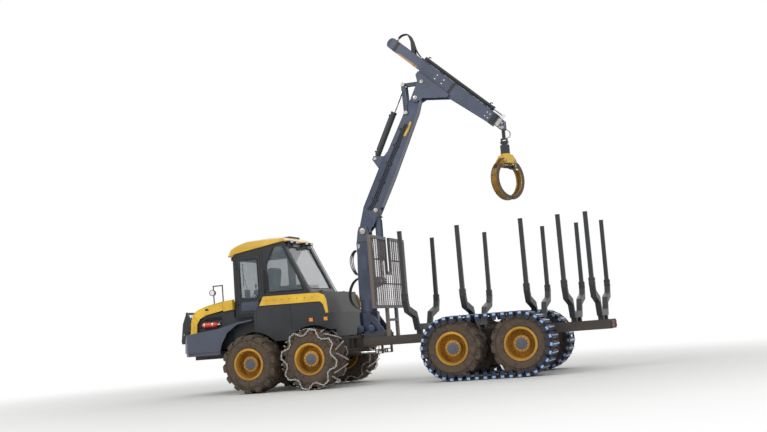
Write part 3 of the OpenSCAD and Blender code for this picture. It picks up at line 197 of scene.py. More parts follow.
def muddy_rubber(name, hex_colour, mud):
    """Vulcanised tyre rubber: dull black, caked with earth between the lugs and dusty on the shoulders."""
    material, tree, shader, place = new_material(name)
    cloudy = add_node(tree, "TexNoise", {"Vector": place, "Scale": 3.0, "Detail": 5.0})
    clods = add_node(tree, "TexNoise", {"Vector": place, "Scale": 16.0, "Detail": 8.0, "Roughness": 0.72})
    patches = add_node(tree, "MapRange", {0: cloudy, 1: 0.3, 2: 0.7}, **SMOOTH)
    colour = add_node(tree, "Mix", {0: patches, 6: linear(hex_colour), 7: linear("#57493d")}, 2, **RGBA)
    caked = add_node(tree, "MapRange", {0: clods, 1: 0.42, 2: 0.6, 4: mud}, **SMOOTH)
    earth = add_node(tree, "Mix", {0: cloudy, 6: linear("#7a644d"), 7: WET_MUD}, 2, **RGBA)
    colour = add_node(tree, "Mix", {0: caked, 6: colour, 7: earth}, 2, **RGBA)
    bump = add_node(tree, "Bump", {"Height": clods, "Strength": 0.6, "Distance": 0.012})
    set_inputs(tree, shader, {"Base Color": colour, "Roughness": 0.85, "IOR": 1.52, "Normal": bump})
    return material


def worn_steel(name, hex_colour, polish, rust, metallic):
    """Rolled or forged steel that rubs bare in use, with rust left in its hollows."""
    material, tree, shader, place = new_material(name)
    patchy = add_node(tree, "TexNoise", {"Vector": place, "Scale": 7.0, "Detail": 6.0, "Roughness": 0.6})
    grain = add_node(tree, "TexNoise", {"Vector": place, "Scale": 60.0, "Detail": 4.0, "Roughness": 0.6})
    rusty = add_node(tree, "MapRange", {0: patchy, 1: 0.48, 2: 0.66, 4: rust}, **SMOOTH)
    colour = add_node(tree, "Mix", {0: rusty, 6: linear(hex_colour), 7: linear("#6a4226")}, 2, **RGBA)
    rough = add_node(tree, "Math", {0: rusty, 1: 0.6, 2: polish}, operation="MULTIPLY_ADD", use_clamp=True)
    metal = add_node(tree, "Math", {0: rusty, 1: -1.0, 2: metallic}, operation="MULTIPLY_ADD", use_clamp=True)
    bump = add_node(tree, "Bump", {"Height": grain, "Strength": 0.2, "Distance": 0.002})
    set_inputs(tree, shader, {"Base Color": colour, "Roughness": rough, "Metallic": metal, "Normal": bump})
    return material


def hard_chrome(name):
    """Ground and chromed cylinder rod: a bright mirror with a thin oil film."""
    material, tree, shader, place = new_material(name)
    film = add_node(tree, "TexNoise", {"Vector": place, "Scale": 9.0, "Detail": 3.0})
    oiled = add_node(tree, "MapRange", {0: film, 1: 0.4, 2: 0.7}, **SMOOTH)
    colour = add_node(tree, "Mix", {0: oiled, 6: linear("#e4e6ea"), 7: linear("#b9b7b0")}, 2, **RGBA)
    rough = add_node(tree, "Math", {0: film, 1: 0.3}, operation="MULTIPLY")
    set_inputs(tree, shader, {"Base Color": colour, "Metallic": 1.0, "Roughness": rough})
    return material


def moulded(name, hex_colour, roughness):
    """Injection-moulded plastic or rubber with a fine leather-like grain."""
    material, tree, shader, place = new_material(name)
    grain = add_node(tree, "TexNoise", {"Vector": place, "Scale": 90.0, "Detail": 3.0})
    handled = add_node(tree, "TexNoise", {"Vector": place, "Scale": 5.0, "Detail": 4.0})
    base = linear(hex_colour)
    dusty = [c * 0.75 + d * 0.12 for c, d in zip(base[:3], DUST[:3])] + [1]
    patches = add_node(tree, "MapRange", {0: handled, 1: 0.4, 2: 0.75}, **SMOOTH)
    colour = add_node(tree, "Mix", {0: patches, 6: base, 7: dusty}, 2, **RGBA)
    bump = add_node(tree, "Bump", {"Height": grain, "Strength": 0.15, "Distance": 0.001})
    set_inputs(tree, shader, {"Base Color": colour, "Roughness": roughness, "Normal": bump})
    return material


def tinted_glass(name):
    """Toughened cab glass: thin grey-blue tint, smooth, with a light film of dust."""
    material, tree, shader, place = new_material(name)
    smear = add_node(tree, "TexNoise", {"Vector": place, "Scale": 2.5, "Detail": 6.0})
    film = add_node(tree, "MapRange", {0: smear, 1: 0.35, 2: 0.75}, **SMOOTH)
    colour = add_node(tree, "Mix", {0: film, 6: linear("#72808a"), 7: linear("#868f93")}, 2, **RGBA)
    rough = add_node(tree, "Math", {0: film, 1: 0.12}, operation="MULTIPLY")
    set_inputs(tree, shader, {"Base Color": colour, "Roughness": rough, "IOR": 1.45, "Alpha": 0.34})
    return material


def lens(name, hex_colour, glow):
    """Pressed lens with fine ribs 8 mm apart that glows by glow: a lamp's own light on lamps, and a painted glow on
    the amber side reflectors, which give no light.
    """
    material, tree, shader, place = new_material(name)
    ribs = add_node(tree, "TexWave", {"Vector": place, "Scale": 40.0, "Distortion": 0.0})
    base = linear(hex_colour)
    dark = [c * 0.7 for c in base[:3]] + [1]
    colour = add_node(tree, "Mix", {0: ribs, 6: dark, 7: base}, 2, **RGBA)
    set_inputs(tree, shader, {"Base Color": colour, "Roughness": 0.12, "IOR": 1.49})
    set_inputs(tree, shader, {"Emission Color": base, "Emission Strength": glow})
    return material


def woven(name, hex_colour):
    """Seat cloth: a coarse two-tone weave, drawn 16 mm to the thread pair so that it shows."""
    material, tree, shader, place = new_material(name)
    threads = {"Vector": place, "Scale": 62.0, "Color1": linear(hex_colour), "Color2": linear("#41444b")}
    weave = add_node(tree, "TexChecker", threads)
    raised = add_node(tree, "TexChecker", threads, 1)
    bump = add_node(tree, "Bump", {"Height": raised, "Strength": 0.3, "Distance": 0.002})
    set_inputs(tree, shader, {"Base Color": weave, "Roughness": 0.9, "Sheen Weight": 0.3, "Normal": bump})
    return material


# Each finish: its key, its maker and what the maker takes
FINISHES = (
    ("crane", enamel, "crane_enamel", "#323c55", 0.46, 0.4, 0.3, 0.2, "#7b8290", 0.16, 0.15),
    ("skirt", enamel, "skirt_enamel", "#2b344a", 0.48, 1.4, 0.35, 0.3, "#7b8290", 0.2, 0.15),
    ("chassis", enamel, "chassis_enamel", "#1c212b", 0.55, 1.5, 0.7, 0.4, "#8f8f8d", 0.15, 0.05),
    ("black", enamel, "black_enamel", "#0f1218", 0.5, 1.2, 0.35, 0.18, "#6f7276", 0.07, 0.05),
    ("yellow", enamel, "yellow_enamel", "#f4be20", 0.32, 1.0, 0.4, 0.15, "#c79a2a", 0.22, 0.5),
    ("claw", enamel, "worn_claw_enamel", "#96701f", 0.55, 0.5, 0.3, 0.2, "#42362a", 0.9, 0.05),
    ("rim", enamel, "wheel_enamel", "#e0a52a", 0.5, 1.35, 0.34, 0.15, "#8a6a34", 0.3, 0.1),
    ("hub", enamel, "hub_enamel", "#5c6678", 0.5, 1.3, 0.35, 0.3, "#a9adb2", 0.3, 0.1),
    ("gate", enamel, "gate_enamel", "#39404d", 0.5, 0.5, 0.3, 0.4, "#8a6f55", 0.55, 0.1),
    ("red", enamel, "red_enamel", "#cf2619", 0.3, 0.4, 0.1, 0.1, "#8f8f8d", 0.1, 0.6),
    ("tyre", muddy_rubber, "tyre_rubber", "#3a3532", 0.8),
    ("track", worn_steel, "rolled_track_steel", "#323c50", 0.5, 0.35, 0.6),
    # Bare worn track steel, tinted pale sky blue as a painted reflection of the sky
    ("pad", worn_steel, "worn_track_steel_painted_sky_glint", "#9dbbe0", 0.35, 0.10, 0.5),
    ("chain", worn_steel, "case_hardened_chain", "#c4c2bd", 0.32, 0.30, 0.8),
    ("cast", worn_steel, "cast_iron_block", "#77797c", 0.6, 0.5, 0.7),
    ("bare", worn_steel, "bare_worn_steel", "#b0aba2", 0.35, 0.3, 1.0),
    ("tan", worn_steel, "rubbed_primer_steel", "#b08a5c", 0.5, 0.4, 0.3),
    ("zinc", worn_steel, "zinc_plated_steel", "#c9cbc8", 0.3, 0.08, 1.0),
    ("zinc_dark", worn_steel, "blackened_pipe_steel", "#4a4f58", 0.4, 0.15, 0.7),
    ("chrome", hard_chrome, "chromed_rod"),
    ("plastic", moulded, "moulded_plastic", "#17181b", 0.6),
    ("hose", moulded, "hydraulic_hose_rubber", "#121316", 0.5),
    ("screen", moulded, "unlit_screen_glass", "#0c1014", 0.12),
    ("glass", tinted_glass, "toughened_glass"),
    ("clear", lens, "clear_lens", "#eef0f2", 0.15),
    # Side reflectors: their faint glow is painted, as reflectors give no light
    ("amber", lens, "amber_reflector_painted_glow", "#ff9a1f", 0.05),
    ("red_lens", lens, "red_lens", "#b81410", 0.02),
    ("cloth", woven, "seat_cloth", "#26292f"),
)
finish = {key: make(*values) for key, make, *values in FINISHES}

# CAD nodes of each finish
CAD_FINISH = {
    "chassis": "front_frame front_bogies rear_frame rear_bogies",
    "skirt": "front_skirt",
    "black": "front_guard engine_bay cab_frame deck hood_fittings cab_door bunks stakes jib_barrel ext_barrel"
    " tip_link rotator grapple_barrel steer_barrel_left steer_barrel_right",
    "cast": "engine",
    "yellow": "cab_roof yellow_trim hood grapple_head",
    "glass": "cab_glass door_glass",
    "plastic": "cab_inside lamps",
    "rim": "rear_rims rim_front_left rim_front_right rim_mid_left rim_mid_right",
    "tyre": "rear_tyres tyre_front_left tyre_front_right tyre_mid_left tyre_mid_right",
    "chain": "chain_left chain_right",
    "track": "track_left track_right",
    "gate": "gate",
    "crane": "crane_base column main_boom lift_barrel rocker jib_link jib telescope",
    "chrome": "lift_rod jib_rod ext_rod grapple_rod steer_rod_left steer_rod_right",
    "claw": "claw_a claw_b",
}
for key, names in CAD_FINISH.items():
    for name in names.split():
        nodes[name].data.materials.clear()
        nodes[name].data.materials.append(finish[key])

# Camera, light and floor

PHOTO_WIDTH = 767
PHOTO_HEIGHT = 432
# The camera stood by the rear of the machine, which leaned up the slope to its rear
CAMERA_PLACE = Vector((7.93, -24.4, 1.25))
SLOPE = math.radians(4.75)
AIM = Vector((0.0, 0.0, 3.86))
FRAME_FILL = 0.90
SKY = 0.6
# Radii between which the floor turns from its own grey to the background's white
FLOOR_FADE = (5.5, 16.0)


def add_object(name, data):
    obj = bpy.data.objects.new(name, data)
    bpy.context.scene.collection.objects.link(obj)
    return obj


def place_camera():
    data = bpy.data.cameras.new("camera")
    camera = add_object("camera", data)
    up = Vector((math.sin(SLOPE), 0, math.cos(SLOPE)))
    back = (CAMERA_PLACE - AIM).normalized()
    right = up.cross(back).normalized()
    rotation = Matrix((right, back.cross(right), back)).transposed()
    camera.matrix_world = Matrix.Translation(CAMERA_PLACE) @ rotation.to_4x4()
    # The lens is as long as lets the whole machine fill the frame
    spread_x = spread_y = 0.0
    for name in nodes:
        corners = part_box(name)
        for k in range(8):
            corner = Vector((corners[k & 1][0], corners[k >> 1 & 1][1], corners[k >> 2][2]))
            p = rotation.transposed() @ (corner - CAMERA_PLACE)
            spread_x = max(spread_x, abs(p.x / p.z))
            spread_y = max(spread_y, abs(p.y / p.z))
    half = max(spread_x, spread_y * PHOTO_WIDTH / PHOTO_HEIGHT) / FRAME_FILL
    data.angle = 2 * math.atan(half)
    data.clip_end = 300
    bpy.context.scene.camera = camera


def seen_white(tree):
    """1 where the camera, a reflection or a pane sees a surface, and 0 where it only lights others."""
    seen = add_node(tree, "LightPath", out="Is Camera Ray")
    for kind in ("Is Glossy Ray", "Is Transmission Ray"):
        other = add_node(tree, "LightPath", out=kind)
        seen = add_node(tree, "Math", {0: seen, 1: other}, operation="MAXIMUM")
    return seen


def place_lights():
    world = bpy.data.worlds.new("studio")
    bpy.context.scene.world = world
    world.use_nodes = True
    tree = world.node_tree
    background = next(n for n in tree.nodes if n.type == "BACKGROUND")
    strength = add_node(tree, "MapRange", {0: seen_white(tree), 3: SKY, 4: 1.0})
    set_inputs(tree, background, {"Strength": strength, "Color": (1.0, 1.0, 1.0, 1)})
    # Name, place, size and power of each soft box
    for name, place, size, power in (
        ("key", (-9, -15, 15), 11, 1250),
        ("fill", (13, -13, 9), 10, 560),
        ("back", (2, 15, 13), 12, 700),
    ):
        light = bpy.data.lights.new(name, "AREA")
        light.size = size
        light.energy = power
        lamp = add_object(name, light)
        lamp.location = place
        lamp.rotation_euler = (Vector((0, 0, 3)) - Vector(place)).to_track_quat("-Z", "Y").to_euler()


def place_floor():
    """A pale floor that is white far from the machine, so that no horizon shows, and keeps the shadow under it."""
    mesh = bpy.data.meshes.new("floor")
    reach = 120
    corners = [(-reach, -reach, 0), (reach, -reach, 0), (reach, reach, 0), (-reach, reach, 0)]
    mesh.from_pydata(corners, [], [(0, 1, 2, 3)])
    material, tree, shader, place = new_material("pale_floor")
    cloudy = add_node(tree, "TexNoise", {"Vector": place, "Scale": 0.3})
    shade = add_node(tree, "Mix", {0: cloudy, 6: linear("#e2e2e0"), 7: linear("#e9e9e7")}, 2, **RGBA)
    set_inputs(tree, shader, {"Base Color": shade, "Roughness": 0.9})
    far = add_node(tree, "VectorMath", {0: place}, "Value", operation="LENGTH")
    fade = add_node(tree, "MapRange", {0: far, 1: FLOOR_FADE[0], 2: FLOOR_FADE[1]}, **SMOOTH)
    fade = add_node(tree, "Math", {0: fade, 1: seen_white(tree)}, operation="MULTIPLY")
    blend = add_node(tree, "MixShader", {0: fade, 1: shader.outputs[0], 2: add_node(tree, "Emission")})
    set_inputs(tree, next(n for n in tree.nodes if n.type == "OUTPUT_MATERIAL"), {"Surface": blend})
    mesh.materials.append(material)
    add_object("floor", mesh)


bpy.context.scene.view_settings.view_transform = "Standard"
place_camera()
place_lights()
place_floor()

# Mesh helpers, all in the frame of the machine at rest


def finish_mesh(name, bm, material, smooth=35, bevel=0.0):
    """An object of a mesh, smooth up to an angle in degrees and bevelled if a width is given."""
    bmesh.ops.recalc_face_normals(bm, faces=bm.faces)
    mesh = bpy.data.meshes.new(name)
    bm.to_mesh(mesh)
    bm.free()
    mesh.materials.append(finish[material])
    obj = add_object(name, mesh)
    if smooth:
        for polygon in mesh.polygons:
            polygon.use_smooth = True
        mesh.set_sharp_from_angle(angle=math.radians(smooth))
    if bevel:
        modifier = obj.modifiers.new("edges", "BEVEL")
        modifier.width = bevel
        modifier.segments = 2
        modifier.limit_method = "ANGLE"
    return obj


def add_piece(name, bm, material, body, smooth=35, bevel=0.0, replaced=None):
    """A mesh that rides on body, in its finish's slot; it can stand in for a CAD node."""
    piece = finish_mesh(name, bm, material, smooth, bevel)
    if replaced:
        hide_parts(replaced)
    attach(piece, body)
    return piece


def add_box(bm, low, high, matrix=None):
    """A box between two corners, moved by matrix if one is given."""
    spans = [sorted(ends) for ends in zip(low, high)]
    for v in bmesh.ops.create_cube(bm, size=1.0)["verts"]:
        v.co = Vector((a + b) / 2 + c * (b - a) for (a, b), c in zip(spans, v.co))
        if matrix:
            v.co = matrix @ v.co


def add_rod(bm, start, end, radius, sides=12):
    """A round bar between two points, closed at its ends."""
    start, end = Vector(start), Vector(end)
    place = Matrix.Translation((start + end) / 2) @ (end - start).to_track_quat("Z", "Y").to_matrix().to_4x4()
    size = {"radius1": radius, "radius2": radius, "depth": (end - start).length}
    bmesh.ops.create_cone(bm, cap_ends=True, segments=sides, matrix=place, **size)


def join_rings(bm, rings, capped=False):
    """Faces from each ring of points to the next, with a cap at each end if asked for."""
    count = len(rings[0])
    for a, b in zip(rings, rings[1:]):
        for i in range(count):
            j = (i + 1) % count
            bm.faces.new((a[i], a[j], b[j], b[i]))
    if capped:
        bm.faces.new(rings[0][::-1])
        bm.faces.new(rings[-1])


def add_prism(bm, outline, low, high, to_point):
    """An outline of (u, v) drawn out from low to high; to_point turns (u, v, w) into a place."""
    bottom, top = [[bm.verts.new(to_point(u, v, w)) for u, v in outline] for w in (low, high)]
    bm.faces.new(bottom)
    bm.faces.new(top[::-1])
    join_rings(bm, [bottom, top])


# Ways to turn (u, v, w) into a place
def side_at(y):
    return lambda u, v, w: Vector((u, y + w, v))


def outside_at(side, y):
    return lambda u, v, w: Vector((u, side * (y + w), v))


def along_x(side):
    return lambda u, v, w: Vector((w, side * u, v))


def facing_x(x, way):
    return lambda u, v, w: Vector((x + way * w, u, v))


def add_lathe(bm, profile, centre, axis, segments=32, closed=False):
    """A profile of (radius, distance along axis) turned about axis."""
    turn = Vector(axis).to_track_quat("Z", "Y").to_matrix()
    angles = [2 * math.pi * i / segments for i in range(segments)]
    centre = Vector(centre)
    rings = [
        [bm.verts.new(centre + turn @ Vector((r * math.cos(a), r * math.sin(a), h))) for a in angles]
        for r, h in profile
    ]
    join_rings(bm, rings + rings[:1] if closed else rings, not closed)


def smooth_path(points, per_span=8):
    """Points of a rounded curve through the given ones."""
    points = [Vector(p) for p in points]
    ends = [points[0] * 2 - points[1]] + points + [points[-1] * 2 - points[-2]]
    path = []
    for a, b, c, d in zip(ends, ends[1:], ends[2:], ends[3:]):
        for t in (k / per_span for k in range(per_span)):
            cubic = 2 * b + (c - a) * t + (2 * a - 5 * b + 4 * c - d) * t * t + (3 * b - a - 3 * c + d) * t**3
            path.append(0.5 * cubic)
    return path + [points[-1]]


def add_tube(bm, path, radius, sides=10):
    """A round tube along a path, closed at both ends."""
    path = [Vector(p) for p in path]
    spans = [(b - a).normalized() for a, b in zip(path, path[1:])]
    tangents = [spans[0]] + [(a + b).normalized() for a, b in zip(spans, spans[1:])] + [spans[-1]]
    side = spans[0].orthogonal().normalized()
    angles = [2 * math.pi * i / sides for i in range(sides)]
    rings = []
    for p, t in zip(path, tangents):
        side = (side - t * side.dot(t)).normalized()
        other = t.cross(side)
        rings.append([bm.verts.new(p + radius * (math.cos(a) * side + math.sin(a) * other)) for a in angles])
    join_rings(bm, rings, capped=True)


def add_bolt(bm, place, axis, radius=0.014, height=0.012):
    """A hexagon head standing on a face at place, with a washer under it."""
    place, axis = Vector(place), Vector(axis).normalized()
    add_rod(bm, place, place + axis * height * 0.25, radius * 1.45, 12)
    add_rod(bm, place + axis * height * 0.2, place + axis * height, radius, 6)


def bolt_circle(bm, centre, axis, circle, count, radius, height=0.012, start=0.0):
    """Bolts on a circle round centre; axis is Y or Z, either way."""
    x, y, z = centre
    for i in range(count):
        a = start + 2 * math.pi * i / count
        u, v = circle * math.cos(a), circle * math.sin(a)
        add_bolt(bm, (x + u, y + v, z) if axis[2] else (x + u, y, z + v), axis, radius, height)


def bolts(name, places, axis, body, radius=0.014, height=0.012, material="zinc"):
    bm = bmesh.new()
    for place in places:
        add_bolt(bm, place, axis, radius, height)
    add_piece(name, bm, material, body, 0)


def path_length(path):
    return sum((b - a).length for a, b in zip(path, path[1:]))


# Tyres: a rounded carcass with angled lugs

LUG_HEIGHT = 0.036
LUG_COUNT = 14
# Depth of a track shoe under the loop's outer line, and what the lugs under it are worn down to
SHOE_DEPTH = 0.036
WORN_LUG_HEIGHT = 0.024


def carcass_profile(tread_r, half, bead_r, bead_half):
    """Half section of a tyre as (radius, distance from its middle), from the tread's middle to the bead."""
    shoulder = tread_r - 0.022
    wall = (tread_r + bead_r) / 2
    return [
        (tread_r, 0.0), (tread_r - 0.004, half * 0.45), (tread_r - 0.012, half * 0.72),
        (shoulder - 0.012, half * 0.86), (shoulder - 0.05, half * 0.95), (tread_r - 0.13, half * 0.985),
        (wall + 0.02, half * 0.99), (wall - 0.05, half * 0.965), (bead_r + 0.055, bead_half + 0.022),
        (bead_r + 0.040, bead_half + 0.012), (bead_r + 0.030, bead_half - 0.004), (bead_r + 0.002, bead_half - 0.006),
    ]


def add_lug(bm, centre, angle, side, base_r, top_r, step):
    """One lug from the tread's middle out over the shoulder, swept back as it goes."""
    rows = []
    # Place across the tread, lag in steps, half width in steps, drop below the top
    for across, lag, width, drop in (
        (-0.02, 0.00, 0.17, 0), (0.09, 0.13, 0.19, 0), (0.20, 0.30, 0.21, 0.002),
        (0.29, 0.44, 0.23, 0.006), (0.335, 0.52, 0.24, 0.022), (0.351, 0.55, 0.23, 0.085),
    ):
        radius = top_r - drop
        foot = min(base_r - 0.012, radius - 0.02)
        row = []
        for r, spread in ((foot, 1.25), (radius, 0.85), (radius, -0.85), (foot, -1.25)):
            a = angle + (lag + spread * width) * step
            row.append(bm.verts.new(Vector(centre) + Vector((r * math.cos(a), side * across, r * math.sin(a)))))
        rows.append(row)
    for a, b in zip(rows, rows[1:]):
        for i in range(3):
            bm.faces.new((a[i], a[i + 1], b[i + 1], b[i]))
    bm.faces.new(rows[0])
    bm.faces.new(rows[-1][::-1])


def add_tyre(bm, centre, base_r, top_r):
    half_profile = carcass_profile(base_r, TYRE_HALF - 0.004, RIM_R, RIM_HALF)
    profile = [(r, -h) for r, h in half_profile[::-1]] + half_profile[1:]
    add_lathe(bm, profile, centre, (0, 1, 0), 72, closed=True)
    # Moulded rings on each sidewall
    for side in (-1, 1):
        ring = [(0.560, 0.343), (0.556, 0.354), (0.546, 0.354), (0.542, 0.343)]
        add_lathe(bm, [(r, side * h) for r, h in ring], centre, (0, 1, 0), 72, closed=True)
    step = 2 * math.pi / LUG_COUNT
    for i in range(LUG_COUNT):
        for side in (-1, 1):
            add_lug(bm, centre, i * step + side * 0.25 * step, side, base_r, top_r, step)


def make_tyres():
    for where, side in SIDES:
        for kind, x, z in (("front", FRONT_AXLE_X, TYRE_R), ("mid", MID_AXLE_X, CHAINED_R)):
            bm = bmesh.new()
            add_tyre(bm, (x, side * WHEEL_Y, z), TYRE_R - LUG_HEIGHT, TYRE_R)
            place = "%s_%s" % (kind, where)
            add_piece("lugged_tyre_" + place, bm, "tyre", "wheel_" + place, 30, replaced="tyre_" + place)
    bm = bmesh.new()
    top_r = TRACKED_R - SHOE_DEPTH
    for _, side in SIDES:
        for end in (-1, 1):
            x = REAR_BOGIE_X + end * BOGIE_PITCH / 2
            add_tyre(bm, (x, side * WHEEL_Y, TRACKED_R), top_r - WORN_LUG_HEIGHT, top_r)
    add_piece("lugged_tyres_rear", bm, "tyre", "rear_unit", 30, replaced="rear_tyres")


# Wheel hubs: a cover with its bolts, the nuts that hold the disc, the rim's lock ring and valve


def make_hubs():
    for where, side in SIDES:
        for name, x, z, body in (
            ("front_", FRONT_AXLE_X, TYRE_R, "wheel_front_" + where),
            ("mid_", MID_AXLE_X, CHAINED_R, "wheel_mid_" + where),
            ("rear1_", REAR_BOGIE_X - BOGIE_PITCH / 2, TRACKED_R, "rear_unit"),
            ("rear2_", REAR_BOGIE_X + BOGIE_PITCH / 2, TRACKED_R, "rear_unit"),
        ):
            name, out, middle = name + where, (0, side, 0), (x, side * WHEEL_Y, z)
            bm = bmesh.new()
            cover = [(0.172, 0.150), (0.184, 0.152), (0.184, 0.172), (0.172, 0.174)]
            add_lathe(bm, cover, middle, out, 48, closed=True)
            cap = [(0.122, 0.222), (0.122, 0.240), (0.112, 0.250), (0.062, 0.253), (0.056, 0.262), (0.020, 0.264)]
            add_lathe(bm, cap, middle, out, 40)
            add_piece("hub_cover_" + name, bm, "hub", body)
            bm = bmesh.new()
            bolt_circle(bm, (x, side * (WHEEL_Y + HUB_FACE), z), out, circle=0.142, count=12, radius=0.010)
            face = (x, side * (WHEEL_Y + DISC_FACE), z)
            bolt_circle(bm, face, out, circle=0.262, count=12, radius=0.016, height=0.030, start=0.13)
            add_piece("wheel_nuts_" + name, bm, "hub", body, 0)
            bm = bmesh.new()
            lock = [(0.300, 0.262), (0.317, 0.262), (0.317, 0.282), (0.306, 0.290), (0.300, 0.282)]
            add_lathe(bm, lock, middle, out, 64, closed=True)
            valve = [(x, side * (WHEEL_Y + 0.24), z - 0.298), (x, side * (WHEEL_Y + 0.30), z - 0.290)]
            add_rod(bm, *valve, 0.006, 8)
            add_piece("lock_ring_" + name, bm, "rim", body)


# Bogie track: forged shoes with grousers, side lugs and pinned links


def shoe_frame(s, side):
    """Turns (along, out, across) into a place, at share s of the track's outer loop."""
    arc = math.pi * TRACKED_R
    half = BOGIE_PITCH / 2
    t = (s % 1.0) * (2 * BOGIE_PITCH + 2 * arc)
    if t < BOGIE_PITCH:
        u, v, a = -half + t, TRACKED_R, math.pi / 2
    elif t < BOGIE_PITCH + arc:
        a = math.pi / 2 - (t - BOGIE_PITCH) / TRACKED_R
        u, v = half + TRACKED_R * math.cos(a), TRACKED_R * math.sin(a)
    elif t < 2 * BOGIE_PITCH + arc:
        u, v, a = half - (t - BOGIE_PITCH - arc), -TRACKED_R, -math.pi / 2
    else:
        a = -math.pi / 2 - (t - 2 * BOGIE_PITCH - arc) / TRACKED_R
        u, v = -half + TRACKED_R * math.cos(a), TRACKED_R * math.sin(a)

    def place(along, out, over):
        x = u + out * math.cos(a) + along * math.sin(a)
        z = v + out * math.sin(a) - along * math.cos(a)
        return Vector((REAR_BOGIE_X + x, side * WHEEL_Y + over, TRACKED_R + z))

    return place


def make_tracks():
    edge = TRACK_HALF
    plate = [(-0.066, -0.034), (0.066, -0.034), (0.066, -0.020), (0.040, -0.014), (-0.040, -0.014), (-0.066, -0.020)]
    grouser = [(-0.030, -0.016), (0.030, -0.016), (0.013, -0.003), (-0.013, -0.003)]
    lug = [(-0.052, -0.030), (-0.056, -0.080), (-0.030, -0.164), (0.030, -0.164), (0.056, -0.080), (0.052, -0.030)]
    # Bare steel where the shoe runs on stones, tinted pale sky blue as a painted reflection of the sky: grouser tip
    # and the shoulder of each lug
    tip = [(-0.014, -0.004), (0.014, -0.004), (0.012, -0.001), (-0.012, -0.001)]
    cheek = [(-0.034, -0.066), (0.034, -0.066), (0.034, -0.018), (-0.034, -0.018)]
    link = [(-0.048, -0.044), (0.048, -0.044), (0.056, -0.026), (0.048, -0.010), (-0.048, -0.010), (-0.056, -0.026)]
    for where, side in SIDES:
        shoes, worn_and_glint = bmesh.new(), bmesh.new()
        for i in range(SHOE_COUNT):
            place = shoe_frame((i + 0.35) / SHOE_COUNT, side)
            add_prism(shoes, plate, -edge, edge, place)
            add_prism(shoes, grouser, -edge, edge, place)
            add_prism(worn_and_glint, tip, -edge + 0.004, edge - 0.004, place)
            for end in (-1, 1):
                add_prism(shoes, lug, end * (edge - 0.030), end * edge, place)
                # Boss that the link's pin goes through
                add_rod(shoes, place(-0.060, -0.026, end * 0.30), place(0.060, -0.026, end * 0.30), 0.022, 8)
                add_prism(worn_and_glint, cheek, end * (edge - 0.006), end * (edge + 0.004), place)
            # Twin links to the next shoe
            joint = shoe_frame((i + 0.85) / SHOE_COUNT, side)
            for end in (-1, 1):
                for over in (0.262, 0.338):
                    add_prism(shoes, link, end * (over - 0.010), end * (over + 0.010), joint)
                for along in (-0.036, 0.036):
                    pin = [joint(along, -0.026, end * 0.250), joint(along, -0.026, end * 0.352)]
                    add_rod(shoes, *pin, 0.010, 8)
        add_piece("forged_track_" + where, shoes, "track", "rear_unit", 30, replaced="track_" + where)
        # The worn bare steel is tinted pale sky blue, a painted reflection of the sky
        add_piece("track_wear_and_sky_glint_" + where, worn_and_glint, "pad", "rear_unit", 30)


# Tyre chain: welded links along the bars over the tread and the ring on each side

LINK_PITCH = 0.044
LINK_LENGTH = 0.062
LINK_WIRE = 0.0085
# Widths of the links that stand up and of those that lie flat
LINK_WIDTHS = (0.026, 0.046)
CHAIN_BARS = 16
CHAIN_LEAN = math.tan(math.radians(14))


def add_link(bm, centre, along, out, width, sides=6):
    """An oval link of round wire; it lies flat in the plane of along and the cross of along and out."""
    along, out = along.normalized(), out.normalized()
    over = along.cross(out).normalized()
    half, bend = LINK_LENGTH / 2 - width / 2, width / 2 - LINK_WIRE
    turns = [2 * math.pi * k / sides for k in range(sides)]
    rings = []
    for i in range(12):
        a = 2 * math.pi * i / 12
        shift = half if math.cos(a) > 0 else -half
        middle = centre + along * (shift + bend * math.cos(a)) + over * (bend * math.sin(a))
        away = along * math.cos(a) + over * math.sin(a)
        rings.append([bm.verts.new(middle + LINK_WIRE * (away * math.cos(b) + out * math.sin(b))) for b in turns])
    join_rings(bm, rings + rings[:1])


def add_chain(bm, line, outward):
    """Links end to end along a line of points, each turned a quarter from the last."""
    total = path_length(line)
    count = max(2, 2 * round(total / LINK_PITCH / 2))
    walked, index = 0.0, 0
    for i in range(count):
        target = (i + 0.5) * (total / count)
        while walked + (line[index + 1] - line[index]).length < target:
            walked += (line[index + 1] - line[index]).length
            index += 1
        along = line[index + 1] - line[index]
        centre = line[index] + along.normalized() * (target - walked)
        out = outward(centre)
        out = (out - along.normalized() * out.dot(along.normalized())).normalized()
        # Every second link stands up; it is the narrower one, so that it keeps off the ground
        add_link(bm, centre, along, out if i % 2 else along.cross(out), LINK_WIDTHS[i % 2])


def make_chains():
    step = 2 * math.pi / CHAIN_BARS
    for where, side in SIDES:
        middle = Vector((MID_AXLE_X, side * WHEEL_Y, CHAINED_R))

        def around(r, a, over):
            return middle + Vector((r * math.cos(a), over, r * math.sin(a)))

        bm = bmesh.new()
        for i in range(CHAIN_BARS):
            points = []
            for k in range(9):
                over = -0.362 + 0.724 * k / 8
                a = i * step + CHAIN_LEAN * (1 if i % 2 else -1) * over / 0.68
                points.append(around(0.679 if abs(over) < 0.34 else 0.672, a, over))
            add_chain(bm, points, lambda p: Vector((p.x - middle.x, 0, p.z - middle.z)))
        for end in (-1, 1):
            points = []
            for k in range(CHAIN_BARS // 2):
                for lag, r in ((-0.28, 0.668), (0.28, 0.668), (0.80, 0.545), (1.20, 0.545)):
                    points.append(around(r, (2 * k + (0.5 if end > 0 else 1.5) + lag) * step, end * 0.366))
            add_chain(bm, points + points[:1], lambda p: Vector((0, end, 0)))
        add_piece("welded_chain_" + where, bm, "chain", "wheel_mid_" + where, 60, replaced="chain_" + where)


make_tyres()
make_hubs()
make_tracks()
make_chains()

# Pins of the crane: end discs with a bolt and two screws of the keeper

JIB_FOOT = on_boom(1.684, 0.400)
JIB_EYE = on_boom(3.535, 0.420)


